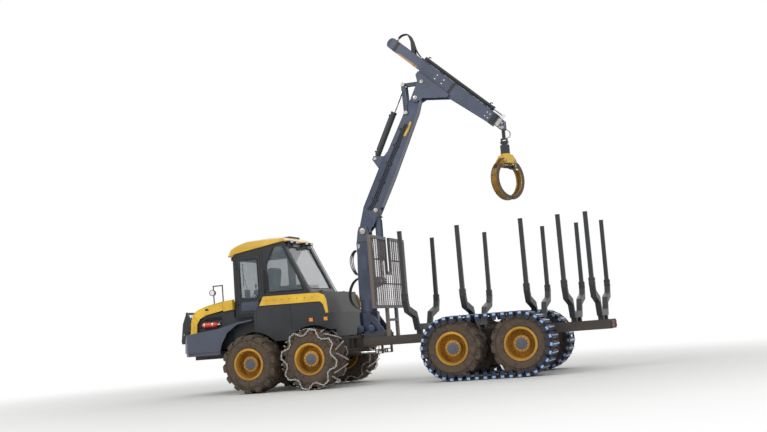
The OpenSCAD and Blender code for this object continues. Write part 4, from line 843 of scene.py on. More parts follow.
def pin_ends(name, place, half, radius, body, axis=Vector((0, 1, 0)), keeper=True):
    bm = bmesh.new()
    down = Vector((0, 0, -1))
    disc = [(radius * 1.30, 0.000), (radius * 1.30, 0.008), (radius * 1.15, 0.012), (radius * 0.4, 0.012)]
    for end in (-1, 1):
        out = axis * end
        face = Vector(place) + out * half
        add_lathe(bm, disc, face, out, 24)
        add_bolt(bm, face + out * 0.011, out, radius * 0.34, 0.014)
        for k in (-1, 1) if keeper else ():
            add_bolt(bm, face + down * radius * k * 0.85 + out * 0.011, out, 0.007, 0.007)
    add_piece("pin_" + name, bm, "bare", body)


def make_pins():
    # Name, place, half length, radius and body
    for pin in (
        ("boom_foot", BOOM_PIN, 0.175, 0.055, "main_boom"),
        ("knuckle", KNUCKLE, 0.185, 0.040, "main_boom"),
        ("lift_top", LIFT_TOP, 0.125, 0.040, "lift_barrel"),
        ("lift_foot", LIFT_FOOT, 0.094, 0.032, "column"),
        ("jib_cylinder", JIB_FOOT, 0.098, 0.030, "jib_barrel"),
        ("rocker", on_boom(2.95, 0.09), 0.150, 0.035, "rocker"),
        ("links", JIB_EYE, 0.148, 0.036, "rocker"),
        ("jib_lever", on_boom(3.75, 0.0), 0.185, 0.035, "jib_link"),
        ("tip", TIP_PIN, 0.103, 0.030, "tip_link"),
        ("cross", (TIP_PIN.x, 0, CROSS_Z), 0.082, 0.022, "rotator", Vector((1, 0, 0)), False),
    ):
        pin_ends(*pin)
    across = Vector((-math.sin(CLAW_TURN), math.cos(CLAW_TURN), 0))
    along = Vector((math.cos(CLAW_TURN), math.sin(CLAW_TURN), 0))
    hang = Vector((TIP_PIN.x, 0, CLAW_HINGE_Z))
    pin_ends("claw_a", hang + along * 0.15, 0.138, 0.030, "claw_a", across)
    pin_ends("claw_b", hang - along * 0.15, 0.138, 0.030, "claw_b", across)
    eye = hang + along * 0.19 - Vector((0, 0, 0.12))
    pin_ends("grapple_cylinder", eye, 0.096, 0.022, "grapple_barrel", across)


make_pins()

# Boom and jib: weld beads along the plates' edges, steel pipes with clamps, wear marks

# Half widths to the weld beads and to the pipes, and the pitch of the ripples in a bead
BOOM_WELD_Y = 0.1205
BOOM_PIPE_Y = 0.137
JIB_WELD_Y = 0.1245
TAIL_WELD_Y = 0.1105
RIPPLE = 0.012
BOOM_TOP = [(0.50, 0.210), (1.80, 0.210), (1.96, 0.160), (3.10, 0.130), (3.35, 0.100)]
BOOM_BOTTOM = [(0.25, -0.190), (1.40, -0.200), (3.05, -0.150), (3.35, -0.100)]


def weld_line(bm, points, radius=0.0065):
    """A bead that swells and thins a little every 12 mm, as one laid by hand does."""
    points = [Vector(p) for p in points]
    path = []
    for a, b in zip(points, points[1:]):
        count = max(1, int((b - a).length / RIPPLE))
        path += [a.lerp(b, k / count) for k in range(count)]
    path.append(points[-1])
    jitter = [p + Vector((rng.uniform(-1, 1), rng.uniform(-1, 1), rng.uniform(-1, 1))) * 0.0012 for p in path]
    add_tube(bm, jitter, radius, 6)


def make_boom_details():
    bm = bmesh.new()
    for side in (-1, 1):
        weld_line(bm, [on_boom(x, z - 0.001, side * BOOM_WELD_Y) for x, z in BOOM_TOP])
        weld_line(bm, [on_boom(x, z + 0.001, side * BOOM_WELD_Y) for x, z in BOOM_BOTTOM])
    add_piece("boom_welds", bm, "crane", "main_boom", 60)
    # Steel pipes on both flanks and their clamps
    pipes, clamps = bmesh.new(), bmesh.new()
    for side in (-1, 1):
        for z in (0.055, 0.017, -0.021):
            line = ((0.52, 0.05), (0.75, 0), (1.6, 0), (2.45, -0.02), (2.70, -0.05))
            add_tube(pipes, smooth_path([on_boom(x, z + rise, side * BOOM_PIPE_Y) for x, rise in line], 6), 0.0125, 8)
        for x in (0.80, 1.25, 1.70, 2.15, 2.55):
            place = Matrix.Translation(on_boom(x, 0)) @ Matrix.Rotation(-BOOM_ANGLE, 4, "Y")
            add_box(clamps, (-0.022, side * 0.119, -0.055), (0.022, side * 0.152, 0.092), place)
            for z in (-0.042, 0.078):
                add_bolt(clamps, place @ Vector((0, side * 0.152, z)), (0, side, 0), 0.007, 0.007)
    add_piece("boom_pipes", pipes, "zinc_dark", "main_boom")
    add_piece("boom_pipe_clamps", clamps, "plastic", "main_boom", bevel=0.003)
    # Yellow plate low on the boom's left flank
    bm = bmesh.new()
    plate = [(2.42, -0.055), (2.78, -0.075), (2.80, -0.118), (2.62, -0.128), (2.44, -0.112)]
    add_prism(bm, plate, -0.1222, -0.1195, on_boom)
    add_piece("boom_yellow_plate", bm, "yellow", "main_boom")
    # Collars round the boom's foot pin and the rocker's
    bm = bmesh.new()
    for side in (-1, 1):
        for x, z, r in ((0.0, 0.0, 0.100), (2.95, 0.09, 0.062)):
            ring = [(r, 0.0), (r, 0.0008), (r * 0.96, 0.0012), (r * 0.6, 0.0012), (r * 0.6, 0.0)]
            add_lathe(bm, ring, on_boom(x, z, side * 0.120), (0, side, 0), 36, closed=True)
    add_piece("boom_bosses", bm, "crane", "main_boom")


def make_jib_details():
    bm = bmesh.new()
    for side in (-1, 1):
        for (x0, z0), (x1, z1), y in (
            ((-0.32, 0.452), (0.60, 0.452), JIB_WELD_Y),
            ((-0.32, 0.808), (1.84, 0.808), JIB_WELD_Y),
            ((0.60, 0.452), (1.84, 0.553), JIB_WELD_Y),
            ((-1.32, 0.808), (-0.33, 0.808), TAIL_WELD_Y),
        ):
            weld_line(bm, [on_jib(x0, z0, side * y), on_jib(x1, z1, side * y)])
    add_piece("jib_welds", bm, "crane", "jib", 60)
    # Rounded end of the tail, and the dark bands
    bm = bmesh.new()
    angles = [math.pi * k / 8 for k in range(9)]
    outline = [(-JIB_TAIL - 0.085 * math.sin(a), 0.685 + 0.122 * math.cos(a)) for a in angles]
    add_prism(bm, outline, -0.104, 0.104, on_jib)
    add_piece("jib_tail_cap", bm, "crane", "jib", 50, 0.012)
    bm = bmesh.new()
    add_box(bm, (-1.20, -0.1135, 0.5570), (-1.11, 0.1135, 0.8135), JIB_FRAME)
    add_box(bm, (0.52, -0.1275, 0.4480), (0.60, 0.1275, 0.8135), JIB_FRAME)
    add_box(bm, (1.74, -0.1300, 0.5300), (1.85, 0.1300, 0.8160), JIB_FRAME)
    add_piece("jib_bands", bm, "black", "jib", bevel=0.004)
    # The tail's underside, rubbed bare
    bm = bmesh.new()
    add_box(bm, (-1.06, -0.1085, 0.5570), (-0.42, 0.1085, 0.5630), JIB_FRAME)
    strip = [(-1.06, 0.560), (-0.42, 0.560), (-0.46, 0.608), (-0.98, 0.596)]
    for side in (-1, 1):
        add_prism(bm, strip, side * 0.1098, side * 0.1112, on_jib)
    add_piece("jib_bare_strip", bm, "tan", "jib")
    # Prong that carries the hoses behind the knuckle
    bm = bmesh.new()
    prong = [(-0.80, 0.805), (-0.66, 0.805), (-0.90, 1.02), (-1.06, 1.085), (-1.10, 1.050), (-0.96, 0.975)]
    for y in (-0.060, 0.048):
        add_prism(bm, prong, y, y + 0.012, on_jib)
    for x, z in ((-1.06, 1.062), (-0.93, 0.985), (-0.80, 0.865)):
        add_rod(bm, on_jib(x, z, -0.075), on_jib(x, z, 0.075), 0.013, 10)
    add_piece("hose_prong", bm, "black", "jib", bevel=0.003)
    # Slide pad screws down both flanks and the gland of the extension cylinder
    for where, side in SIDES:
        places = [on_jib(x, z, side * 0.124) for x in (0.10, 0.30, 1.60, 1.68) for z in (0.62, 0.72)]
        bolts("jib_pad_screws_" + where[0], places, (0, side, 0), "jib", 0.011, 0.010)
    bm = bmesh.new()
    collar = [(0.050, 0.0), (0.054, 0.004), (0.054, 0.046), (0.048, 0.052), (0.030, 0.052), (0.030, 0.0)]
    add_lathe(bm, collar, on_jib(1.60, 0.87), turned(1, 0, JIB_ANGLE), 28, closed=True)
    for x in (-0.36, 1.50):
        add_rod(bm, on_jib(x, 0.915), on_jib(x, 0.95), 0.014, 6)
        add_rod(bm, on_jib(x, 0.945), on_jib(x + 0.05, 0.955), 0.012, 8)
    add_piece("extension_gland", bm, "black", "jib", 40)
    # Telescope: worn bare flanks and the bolted tip cheeks
    bm = bmesh.new()
    for side in (-1, 1):
        flank = [(1.90, 0.600), (1.99, 0.602), (1.99, 0.770), (1.90, 0.776)]
        add_prism(bm, flank, side * 0.0925, side * 0.0942, on_jib)
    add_piece("telescope_wear", bm, "bare", "telescope")
    for where, side in SIDES:
        places = [on_jib(x, z, side * 0.093) for x, z in ((1.96, 0.61), (2.03, 0.61), (1.96, 0.76), (2.02, 0.72))]
        bolts("tip_bolts_" + where[0], places, (0, side, 0), "telescope", 0.012, 0.012)


make_boom_details()
make_jib_details()

# Cab: window seals, door handle, wiper, lamps, seat and controls

SIDE_WINDOW = [(-2.70, 2.29), (-2.70, 2.95), (-2.48, 3.35), (-2.27, 3.35), (-1.96, 2.70), (-1.80, 2.29)]
DOOR_WINDOW = [(-3.40, 2.18), (-3.00, 2.18), (-2.93, 2.24), (-2.93, 3.11), (-3.40, 3.11)]
DOOR_HOLE = [(-3.48, 1.83), (-2.96, 1.83), (-2.86, 2.01), (-2.86, 3.17), (-3.48, 3.17)]
LAMP_X = CAB_FRONT - 0.071


def rectangle(left, right, low, high):
    return [(left, low), (right, low), (right, high), (left, high)]


def add_seal(bm, points, radius=0.013):
    """Rubber profile round a closed outline, with rounded corners."""
    corners = [Vector(p) for p in points]
    path = []
    for a, b, c in zip([corners[-1]] + corners, corners, corners[1:] + [corners[0]]):
        inward = min(0.05, (b - a).length / 3, (c - b).length / 3)
        start, end = b + (a - b).normalized() * inward, b + (c - b).normalized() * inward
        path += [start.lerp(b, t).lerp(b.lerp(end, t), t) for t in (0, 0.25, 0.5, 0.75, 1)]
    add_tube(bm, path + path[:1], radius, 8)


def make_cab_trim():
    bm = bmesh.new()
    for side in (-1, 1):
        add_seal(bm, [(x, side * (CAB_HALF + 0.003), z) for x, z in SIDE_WINDOW])
    add_seal(bm, [(x, CAB_HALF + 0.003, z) for x, z in DOOR_HOLE])
    add_seal(bm, [(CAB_FRONT + 0.004, y, z) for y, z in rectangle(-0.7, 0.7, 2.23, 3.13)])
    add_seal(bm, [(-2.285, -0.7, 3.33), (-2.285, 0.7, 3.33), (-1.698, 0.7, 2.30), (-1.698, -0.7, 2.30)], 0.014)
    add_piece("window_seals", bm, "plastic", "front_unit", 60)
    bm = bmesh.new()
    add_seal(bm, [(x, -CAB_HALF - 0.003, z) for x, z in DOOR_WINDOW], 0.011)
    add_piece("door_seal", bm, "plastic", "door", 60)
    # Door handle with its lock, and a pressed rib below the window
    bm = bmesh.new()
    add_box(bm, (-2.935, -0.872, 2.03), (-2.895, -0.849, 2.16))
    add_rod(bm, (-2.915, -0.895, 2.045), (-2.915, -0.895, 2.145), 0.009, 10)
    for z in (2.05, 2.14):
        add_rod(bm, (-2.915, -0.895, z), (-2.915, -0.865, z), 0.007, 8)
    add_piece("door_handle", bm, "plastic", "door", bevel=0.003)
    bm = bmesh.new()
    rib = [(-3.40, 1.90), (-3.02, 1.90), (-2.95, 2.05), (-2.95, 2.10), (-3.40, 2.10)]
    add_prism(bm, rib, -0.008, 0.002, side_at(-CAB_HALF))
    add_piece("door_panel", bm, "crane", "door", bevel=0.006)
    # Wiper on the windscreen, and its arm
    bm = bmesh.new()
    add_rod(bm, (CAB_FRONT + 0.014, -0.05, 2.25), (CAB_FRONT + 0.006, -0.32, 2.84), 0.008, 8)
    add_box(bm, (CAB_FRONT + 0.002, -0.332, 2.50), (CAB_FRONT + 0.018, -0.316, 3.06))
    add_rod(bm, (CAB_FRONT - 0.015, -0.05, 2.25), (CAB_FRONT + 0.02, -0.05, 2.25), 0.022, 16)
    add_piece("windscreen_wiper", bm, "plastic", "front_unit")
    # Folded seam along each roof post and grab rail beside the door
    bm = bmesh.new()
    for side in (-1, 1):
        y = side * (CAB_HALF + 0.002)
        add_tube(bm, [(-2.21, y, 3.43), (-1.93, y, 2.84), (-1.62, y, 2.21)], 0.010, 8)
        add_tube(bm, [(-2.80, y, 2.20), (-2.80, y, 3.26)], 0.007, 8)
    rail = [(-2.775, -0.852, 2.30), (-2.775, -0.90, 2.34), (-2.775, -0.905, 2.75), (-2.775, -0.852, 2.80)]
    add_tube(bm, smooth_path(rail, 6), 0.013, 10)
    add_piece("cab_rails", bm, "black", "front_unit", 60)


def make_roof_details():
    # Six lamps over the windscreen and four at the rear: bezels and lenses
    bezels, lenses = bmesh.new(), bmesh.new()
    for y in (-0.66, -0.40, -0.14, 0.14, 0.40, 0.66):
        frame_of_lamp = rectangle(y - 0.072, y + 0.072, 3.118, 3.192)
        add_seal(bezels, [(LAMP_X, u, v) for u, v in frame_of_lamp], 0.007)
        add_prism(lenses, rectangle(y - 0.066, y + 0.066, 3.123, 3.187), 0, 0.008, facing_x(LAMP_X, -1))
    for y in (-0.62, -0.30, 0.30, 0.62):
        frame_of_lamp = rectangle(y - 0.08, y + 0.08, 3.408, 3.452)
        add_seal(bezels, [(-2.109, u, v) for u, v in frame_of_lamp], 0.006)
        add_prism(lenses, rectangle(y - 0.074, y + 0.074, 3.412, 3.448), 0, 0.007, facing_x(-2.111, 1))
    add_piece("lamp_bezels", bezels, "plastic", "front_unit", 60)
    add_piece("lamp_lenses", lenses, "clear", "front_unit", bevel=0.004)
    # Seam round the roof's edge, an aerial base and the dark lamp box at its rear top
    bm = bmesh.new()
    edge = [(-3.655, 3.202), (-3.55, 3.222), (-3.48, 3.256), (-2.24, 3.446), (-2.192, 3.446)]
    for side in (-1, 1):
        add_tube(bm, [(x, side * 0.876, z) for x, z in edge], 0.008, 6)
    add_box(bm, (-2.46, -0.30, 3.552), (-2.28, 0.30, 3.595))
    add_rod(bm, (-2.72, 0.45, 3.555), (-2.72, 0.45, 3.60), 0.022, 16)
    add_piece("roof_fittings", bm, "plastic", "front_unit", bevel=0.004)


def add_cushion(name, place, half, channels=()):
    """A crowned cushion whose sides pull in, with sewn channels, over its hard shell."""
    bm = bmesh.new()
    bmesh.ops.create_cube(bm, size=2.0)
    bmesh.ops.subdivide_edges(bm, edges=bm.edges, cuts=14, use_grid_fill=True)
    n = 7.0
    for v in bm.verts:
        u, s, t = v.co
        k = (abs(u) ** n + abs(s) ** n + abs(t) ** n) ** (1 / n)
        u, s, t = u / k, s / k, t / k
        # Sides pull in between the corners and the top is crowned
        u *= 1 - 0.035 * (1 - s * s)
        s *= 1 - 0.035 * (1 - u * u)
        if t > 0:
            t *= 1 + 0.18 * (1 - u * u) * (1 - s * s)
            for c in channels:
                t -= 0.16 * math.exp(-(((s - c) / 0.05) ** 2))
        v.co = place @ Vector((u * half[0], s * half[1], t * half[2]))
    pad = finish_mesh(name, bm, "cloth", 80)
    modifier = pad.modifiers.new("soft", "SUBSURF")
    modifier.levels = modifier.render_levels = 1
    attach(pad, "front_unit")


def make_seat():
    add_cushion("seat_cushion", Matrix.Translation((-3.115, 0, 2.150)), (0.232, 0.272, 0.088), (-0.45, 0.45))
    lean = Matrix.Rotation(math.atan2(0.10, 0.66), 4, "Y")
    back = Matrix.Translation((-2.902, 0, 2.505)) @ lean @ Matrix.Rotation(-math.pi / 2, 4, "Y")
    add_cushion("seat_back", back, (0.405, 0.262, 0.072), (-0.45, 0.45))
    for name, side in SIDES:
        add_cushion("arm_pad_" + name, Matrix.Translation((-3.12, side * 0.315, 2.335)), (0.182, 0.056, 0.046))
    # Control levers with their buttons, a screen on the console and the steering wheel
    bm = bmesh.new()
    lever = [(0.036, 0.0), (0.030, 0.02), (0.014, 0.03), (0.012, 0.07)]
    lever += [(0.020, 0.09), (0.024, 0.13), (0.018, 0.16), (0.006, 0.166)]
    for _, side in SIDES:
        add_lathe(bm, lever, (-3.245, side * 0.315, 2.372), (0, 0, 1), 20)
        add_box(bm, (-3.25, side * 0.315 - 0.012, 2.50), (-3.235, side * 0.315 + 0.012, 2.545))
    add_box(bm, (-3.485, -0.46, 2.24), (-3.455, -0.20, 2.42))
    add_rod(bm, (-3.47, -0.33, 2.215), (-3.47, -0.33, 2.25), 0.014, 12)
    hub = Vector((-3.36, 0, 2.315))
    rim = [(0.155, -0.010), (0.165, -0.004), (0.165, 0.004), (0.155, 0.010), (0.145, 0.004), (0.145, -0.004)]
    add_lathe(bm, rim, hub, (-0.5, 0, 1), 40, closed=True)
    add_rod(bm, (-3.42, 0, 2.20), hub, 0.022, 12)
    for a in (0.5, 2.6, 4.7):
        spoke = Vector((0.89 * math.cos(a), math.sin(a), 0.45 * math.cos(a))) * 0.15
        add_rod(bm, hub, hub + spoke, 0.010, 8)
    add_piece("cab_controls", bm, "plastic", "front_unit", bevel=0.002)
    bm = bmesh.new()
    add_prism(bm, rectangle(-0.445, -0.215, 2.255, 2.405), 0, 0.003, facing_x(-3.455, 1))
    add_piece("control_screen", bm, "screen", "front_unit", bevel=0.001)

# Hood, engine bay and guard

BOTTLE_Y = -0.925
BOTTLE_Z = 1.640


def make_hood_details():
    # Red bottle in its cradle, in the recess on the left
    bottle = [(0.002, -0.215), (0.040, -0.212), (0.066, -0.190), (0.070, -0.150)]
    bottle += [(0.070, 0.130), (0.060, 0.170), (0.030, 0.192), (0.020, 0.200)]
    bm = bmesh.new()
    add_lathe(bm, bottle, (-4.20, BOTTLE_Y, BOTTLE_Z), (1, 0, 0), 32)
    add_piece("red_bottle", bm, "red", "front_unit", 50)
    bm = bmesh.new()
    strap = [(0.0715, -0.014), (0.0745, -0.014), (0.0745, 0.014), (0.0715, 0.014)]
    for x in (-4.33, -4.12):
        add_lathe(bm, strap, (x, BOTTLE_Y, BOTTLE_Z), (1, 0, 0), 32, closed=True)
        add_box(bm, (x - 0.014, -0.885, 1.60), (x + 0.014, -0.856, 1.68))
    cap = [(0.020, 0.0), (0.026, 0.004), (0.026, 0.030), (0.012, 0.036), (0.012, 0.060)]
    add_lathe(bm, cap, (-4.002, BOTTLE_Y, BOTTLE_Z), (1, 0, 0), 16)
    add_rod(bm, (-3.965, BOTTLE_Y, BOTTLE_Z), (-3.965, BOTTLE_Y, BOTTLE_Z + 0.06), 0.007, 8)
    add_piece("bottle_straps", bm, "zinc", "front_unit", bevel=0.001)
    # Louvres in the recess, fewer on the bottle's side, and bolts round it
    bm = bmesh.new()
    for side in (-1, 1):
        for k in range(6):
            z = 1.615 + 0.034 * k
            if side < 0 and z < 1.73:
                continue
            louvre = [(0.866, z), (0.884, z + 0.002), (0.892, z + 0.012), (0.866, z + 0.022)]
            add_prism(bm, louvre, -4.40 if z < 1.78 else -4.28, -3.93, along_x(side))
    add_piece("bay_louvres", bm, "black", "front_unit", bevel=0.001)
    bolt_xz = ((-4.52, 1.60), (-4.46, 1.76), (-3.86, 1.88), (-3.86, 1.58), (-3.64, 1.20), (-3.64, 1.90))
    for name, side in SIDES:
        places = [(x, side * 0.89, z) for x, z in bolt_xz]
        bolts("bay_bolts_" + name, places, (0, side, 0), "front_unit", 0.011, 0.009, "zinc_dark")
    # Welded grille mesh behind the nose's opening, 25 mm openings drawn
    bm = bmesh.new()
    wire = 0.0022
    for k in range(41):
        y = -0.54 + 0.027 * k
        z0 = 1.545 + max(0.0, (abs(y) - 0.43)) * 1.2
        z1 = 1.872 - max(0.0, (abs(y) - 0.43)) * 1.2
        if z1 - z0 > 0.02:
            add_rod(bm, (-4.678, y, z0), (-4.664, y, 1.69), wire, 5)
            add_rod(bm, (-4.664, y, 1.69), (-4.606, y, z1), wire, 5)
    for k in range(13):
        z = 1.552 + 0.026 * k
        reach = min(0.54, 0.43 + (z - 1.53) * 0.76, 0.43 + (1.88 - z) * 0.72)
        x = -4.680 + 0.02 * (z - 1.55) / 0.14 if z < 1.69 else -4.664 + 0.060 * (z - 1.69) / 0.19
        add_rod(bm, (x, -reach, z), (x, reach, z), wire, 5)
    add_piece("grille_mesh", bm, "black", "front_unit", 60)
    # Hood: folded seams and latches
    bm = bmesh.new()
    ridge = [(-4.645, 1.902), (-4.503, 2.023), (-4.20, 2.114), (-3.845, 2.174)]
    for side in (-1, 1):
        add_tube(bm, smooth_path([(x, side * 0.62, z - 0.004) for x, z in ridge], 6), 0.010, 8)
        add_tube(bm, smooth_path([(x, side * 0.951, z - 0.02) for x, z in ridge], 6), 0.008, 8)
    add_piece("hood_ribs", bm, "yellow", "hood", 60)
    bm = bmesh.new()
    hoop = [(-4.60, 1.930), (-4.64, 1.965), (-4.56, 2.02), (-4.50, 2.010)]
    for side in (-1, 1):
        add_box(bm, (-4.30, side * 0.955 - 0.006, 1.985), (-4.22, side * 0.955 + 0.006, 2.03))
        add_tube(bm, smooth_path([(x, side * 0.30, z) for x, z in hoop], 5), 0.009, 8)
    add_piece("hood_latches", bm, "plastic", "hood", bevel=0.002)
    # Round work lamp on the hood rail: rim and pale lens
    lamp, out = (-4.18, -0.770, 2.40), (0, -1, 0)
    bm = bmesh.new()
    add_lathe(bm, [(0.064, 0.0), (0.073, 0.0), (0.073, 0.014), (0.064, 0.014)], lamp, out, 36, closed=True)
    add_piece("rail_lamp_rim", bm, "plastic", "hood", 60)
    bm = bmesh.new()
    add_lathe(bm, [(0.065, 0.002), (0.060, 0.008), (0.040, 0.015), (0.012, 0.019)], lamp, out, 36)
    add_piece("rail_lamp_lens", bm, "clear", "hood", 80)
    bm = bmesh.new()
    foot = [(0.030, 0.0), (0.030, 0.008), (0.018, 0.014), (0.016, 0.022)]
    for x in (-4.18, -3.94):
        add_lathe(bm, foot, (x, -0.70, 2.116 + (x + 4.2) / 6), (0, 0, 1), 20)
    add_piece("rail_feet", bm, "plastic", "hood")


def make_front_details():
    # Headlamps in the skirt's front corners
    rims, lenses = bmesh.new(), bmesh.new()
    for side in (-1, 1):
        out = Vector((-1, side * 0.6, 0)).normalized()
        for y in (0.88, 1.02):
            centre = (-4.985 + (y - 0.78) * 0.62, side * y, 1.46)
            add_lathe(rims, [(0.046, 0.0), (0.056, 0.0), (0.056, 0.016), (0.046, 0.016)], centre, out, 32, closed=True)
            add_lathe(lenses, [(0.047, 0.002), (0.042, 0.009), (0.028, 0.015), (0.008, 0.018)], centre, out, 32)
    add_piece("headlamp_rims", rims, "plastic", "front_unit", 60)
    add_piece("headlamp_lenses", lenses, "clear", "front_unit", 80)
    # Mesh in the front guard between its bars
    bm = bmesh.new()
    curve = ((-4.91, 1.33), (-4.95, 1.50), (-4.925, 1.67), (-4.90, 1.84), (-4.905, 1.96))
    for k in range(23):
        add_tube(bm, [(x, -0.737 + 0.067 * k, z) for x, z in curve], 0.005, 6)
    add_piece("guard_mesh", bm, "black", "front_unit", 60)


# Deck: arch lips, panel edges, walkway, filler caps, reflectors, steps and screws


def make_deck_details():
    bm = bmesh.new()
    for side in (-1, 1):
        # Rolled lips round the wheel arches
        for cx, cz in ((FRONT_AXLE_X, TYRE_R), (MID_AXLE_X, CHAINED_R)):
            r = cz + 0.06
            angles = [math.pi * (0.05 + 0.9 * k / 32) for k in range(33)]
            arc = [(cx + r * math.cos(a), side * 1.118, cz + r * math.sin(a)) for a in angles]
            add_tube(bm, [p for p in arc if p[2] > 1.16 and -2.97 < p[0] < -1.14], 0.012, 6)
        # Raised panel edges on the body's side
        for seam in (
            [(-2.93, 1.78), (-2.83, 1.95), (-2.68, 2.17)],
            [(-2.05, 1.45), (-2.05, 1.96)],
            [(-2.92, 1.78), (-2.92, 1.32)],
        ):
            add_tube(bm, [(x, side * 1.1205, z) for x, z in seam], 0.006, 6)
    add_piece("deck_edges", bm, "black", "front_unit", 60)
    # Chequered walkway on top behind the cab, its ribs 30 mm apart
    bm = bmesh.new()
    for i in range(9):
        for k in range(34):
            x, y = -1.57 + 0.032 * i, -1.04 + 0.0625 * k
            lean = 0.010 if (i + k) % 2 else -0.010
            half = lean * 1.3 + 0.003
            rib = [(x - 0.010, y - lean), (x, y - half), (x + 0.010, y + lean), (x, y + half)]
            add_prism(bm, rib, 0, 0.004, lambda u, v, w: Vector((u, v, DECK_TOP - 0.001 + w)))
    add_piece("walkway_ribs", bm, "bare", "front_unit", 0)
    bm = bmesh.new()
    for y, cap in (
        (-0.72, [(0.060, 0.0), (0.060, 0.024), (0.050, 0.034), (0.014, 0.036), (0.012, 0.044)]),
        (0.74, [(0.045, 0.0), (0.045, 0.018), (0.036, 0.026), (0.008, 0.028)]),
    ):
        add_lathe(bm, cap, (-1.42, y, DECK_TOP - 0.001), (0, 0, 1), 28)
    add_piece("filler_caps", bm, "plastic", "front_unit")
    # Amber reflectors low on the sides; their lens glows faintly, a painted glow, as reflectors give no light
    bm = bmesh.new()
    for _, side in SIDES:
        for x in (-1.56, -1.20):
            add_prism(bm, rectangle(x - 0.045, x + 0.045, 1.530, 1.610), 0, 0.006, outside_at(side, 1.119))
    add_piece("side_reflectors", bm, "amber", "front_unit", bevel=0.002)
    # Steps up to the door, hung on the left and right
    bm = bmesh.new()
    for _, side in SIDES:
        for x in (-3.46, -3.38, -3.30):
            add_rod(bm, (x, side * 0.91, 1.772), (x + 0.04, side * 1.09, 1.772), 0.006, 6)
        add_box(bm, (-3.50, side * 0.90, 1.755), (-3.08, side * 1.10, 1.765))
    add_piece("door_steps", bm, "black", "front_unit", bevel=0.003)
    for name, side in SIDES:
        places = [(-2.62 + 0.19 * k, side * 1.149, 2.088 - 0.002 * k) for k in range(7)]
        bolts("stripe_screws_" + name, places, (0, side, 0), "front_unit", 0.008, 0.006, "zinc_dark")
        screw_xz = ((-2.86, 1.70), (-2.86, 1.40), (-1.98, 1.88), (-1.98, 1.52), (-1.30, 1.80))
        places = [(x, side * 1.12, z) for x, z in screw_xz]
        bolts("panel_screws_" + name, places, (0, side, 0), "front_unit", 0.009, 0.007, "zinc_dark")


make_cab_trim()
make_roof_details()
make_seat()
make_hood_details()
make_front_details()
make_deck_details()

# Hoses: free loops between ports of one body

COLUMN_HOSE_R = 0.0105
SLEW_HOSE_R = 0.014
PRONG_HOSE_R = 0.013
LINK_HOSE_R = 0.0055


def add_fitting(bm, place, axis, radius):
    """Crimped ferrule and swivel nut at a hose's end."""
    place, axis = Vector(place), Vector(axis).normalized()
    add_rod(bm, place - axis * radius * 1.5, place + axis * radius * 1.2, radius * 1.35, 6)
    add_rod(bm, place + axis * radius * 1.2, place + axis * radius * 4.0, radius * 1.22, 16)


def free_hose(name, points, radius, body, fittings):
    """A rubber hose on a smooth path through points; its fittings are added to one shared mesh."""
    path = smooth_path(points, 6)
    bm = bmesh.new()
    add_tube(bm, path, radius, 10)
    add_fitting(fittings, path[0], path[1] - path[0], radius)
    add_fitting(fittings, path[-1], path[-2] - path[-1], radius)
    hose = add_piece(name, bm, "hose", body, 60)


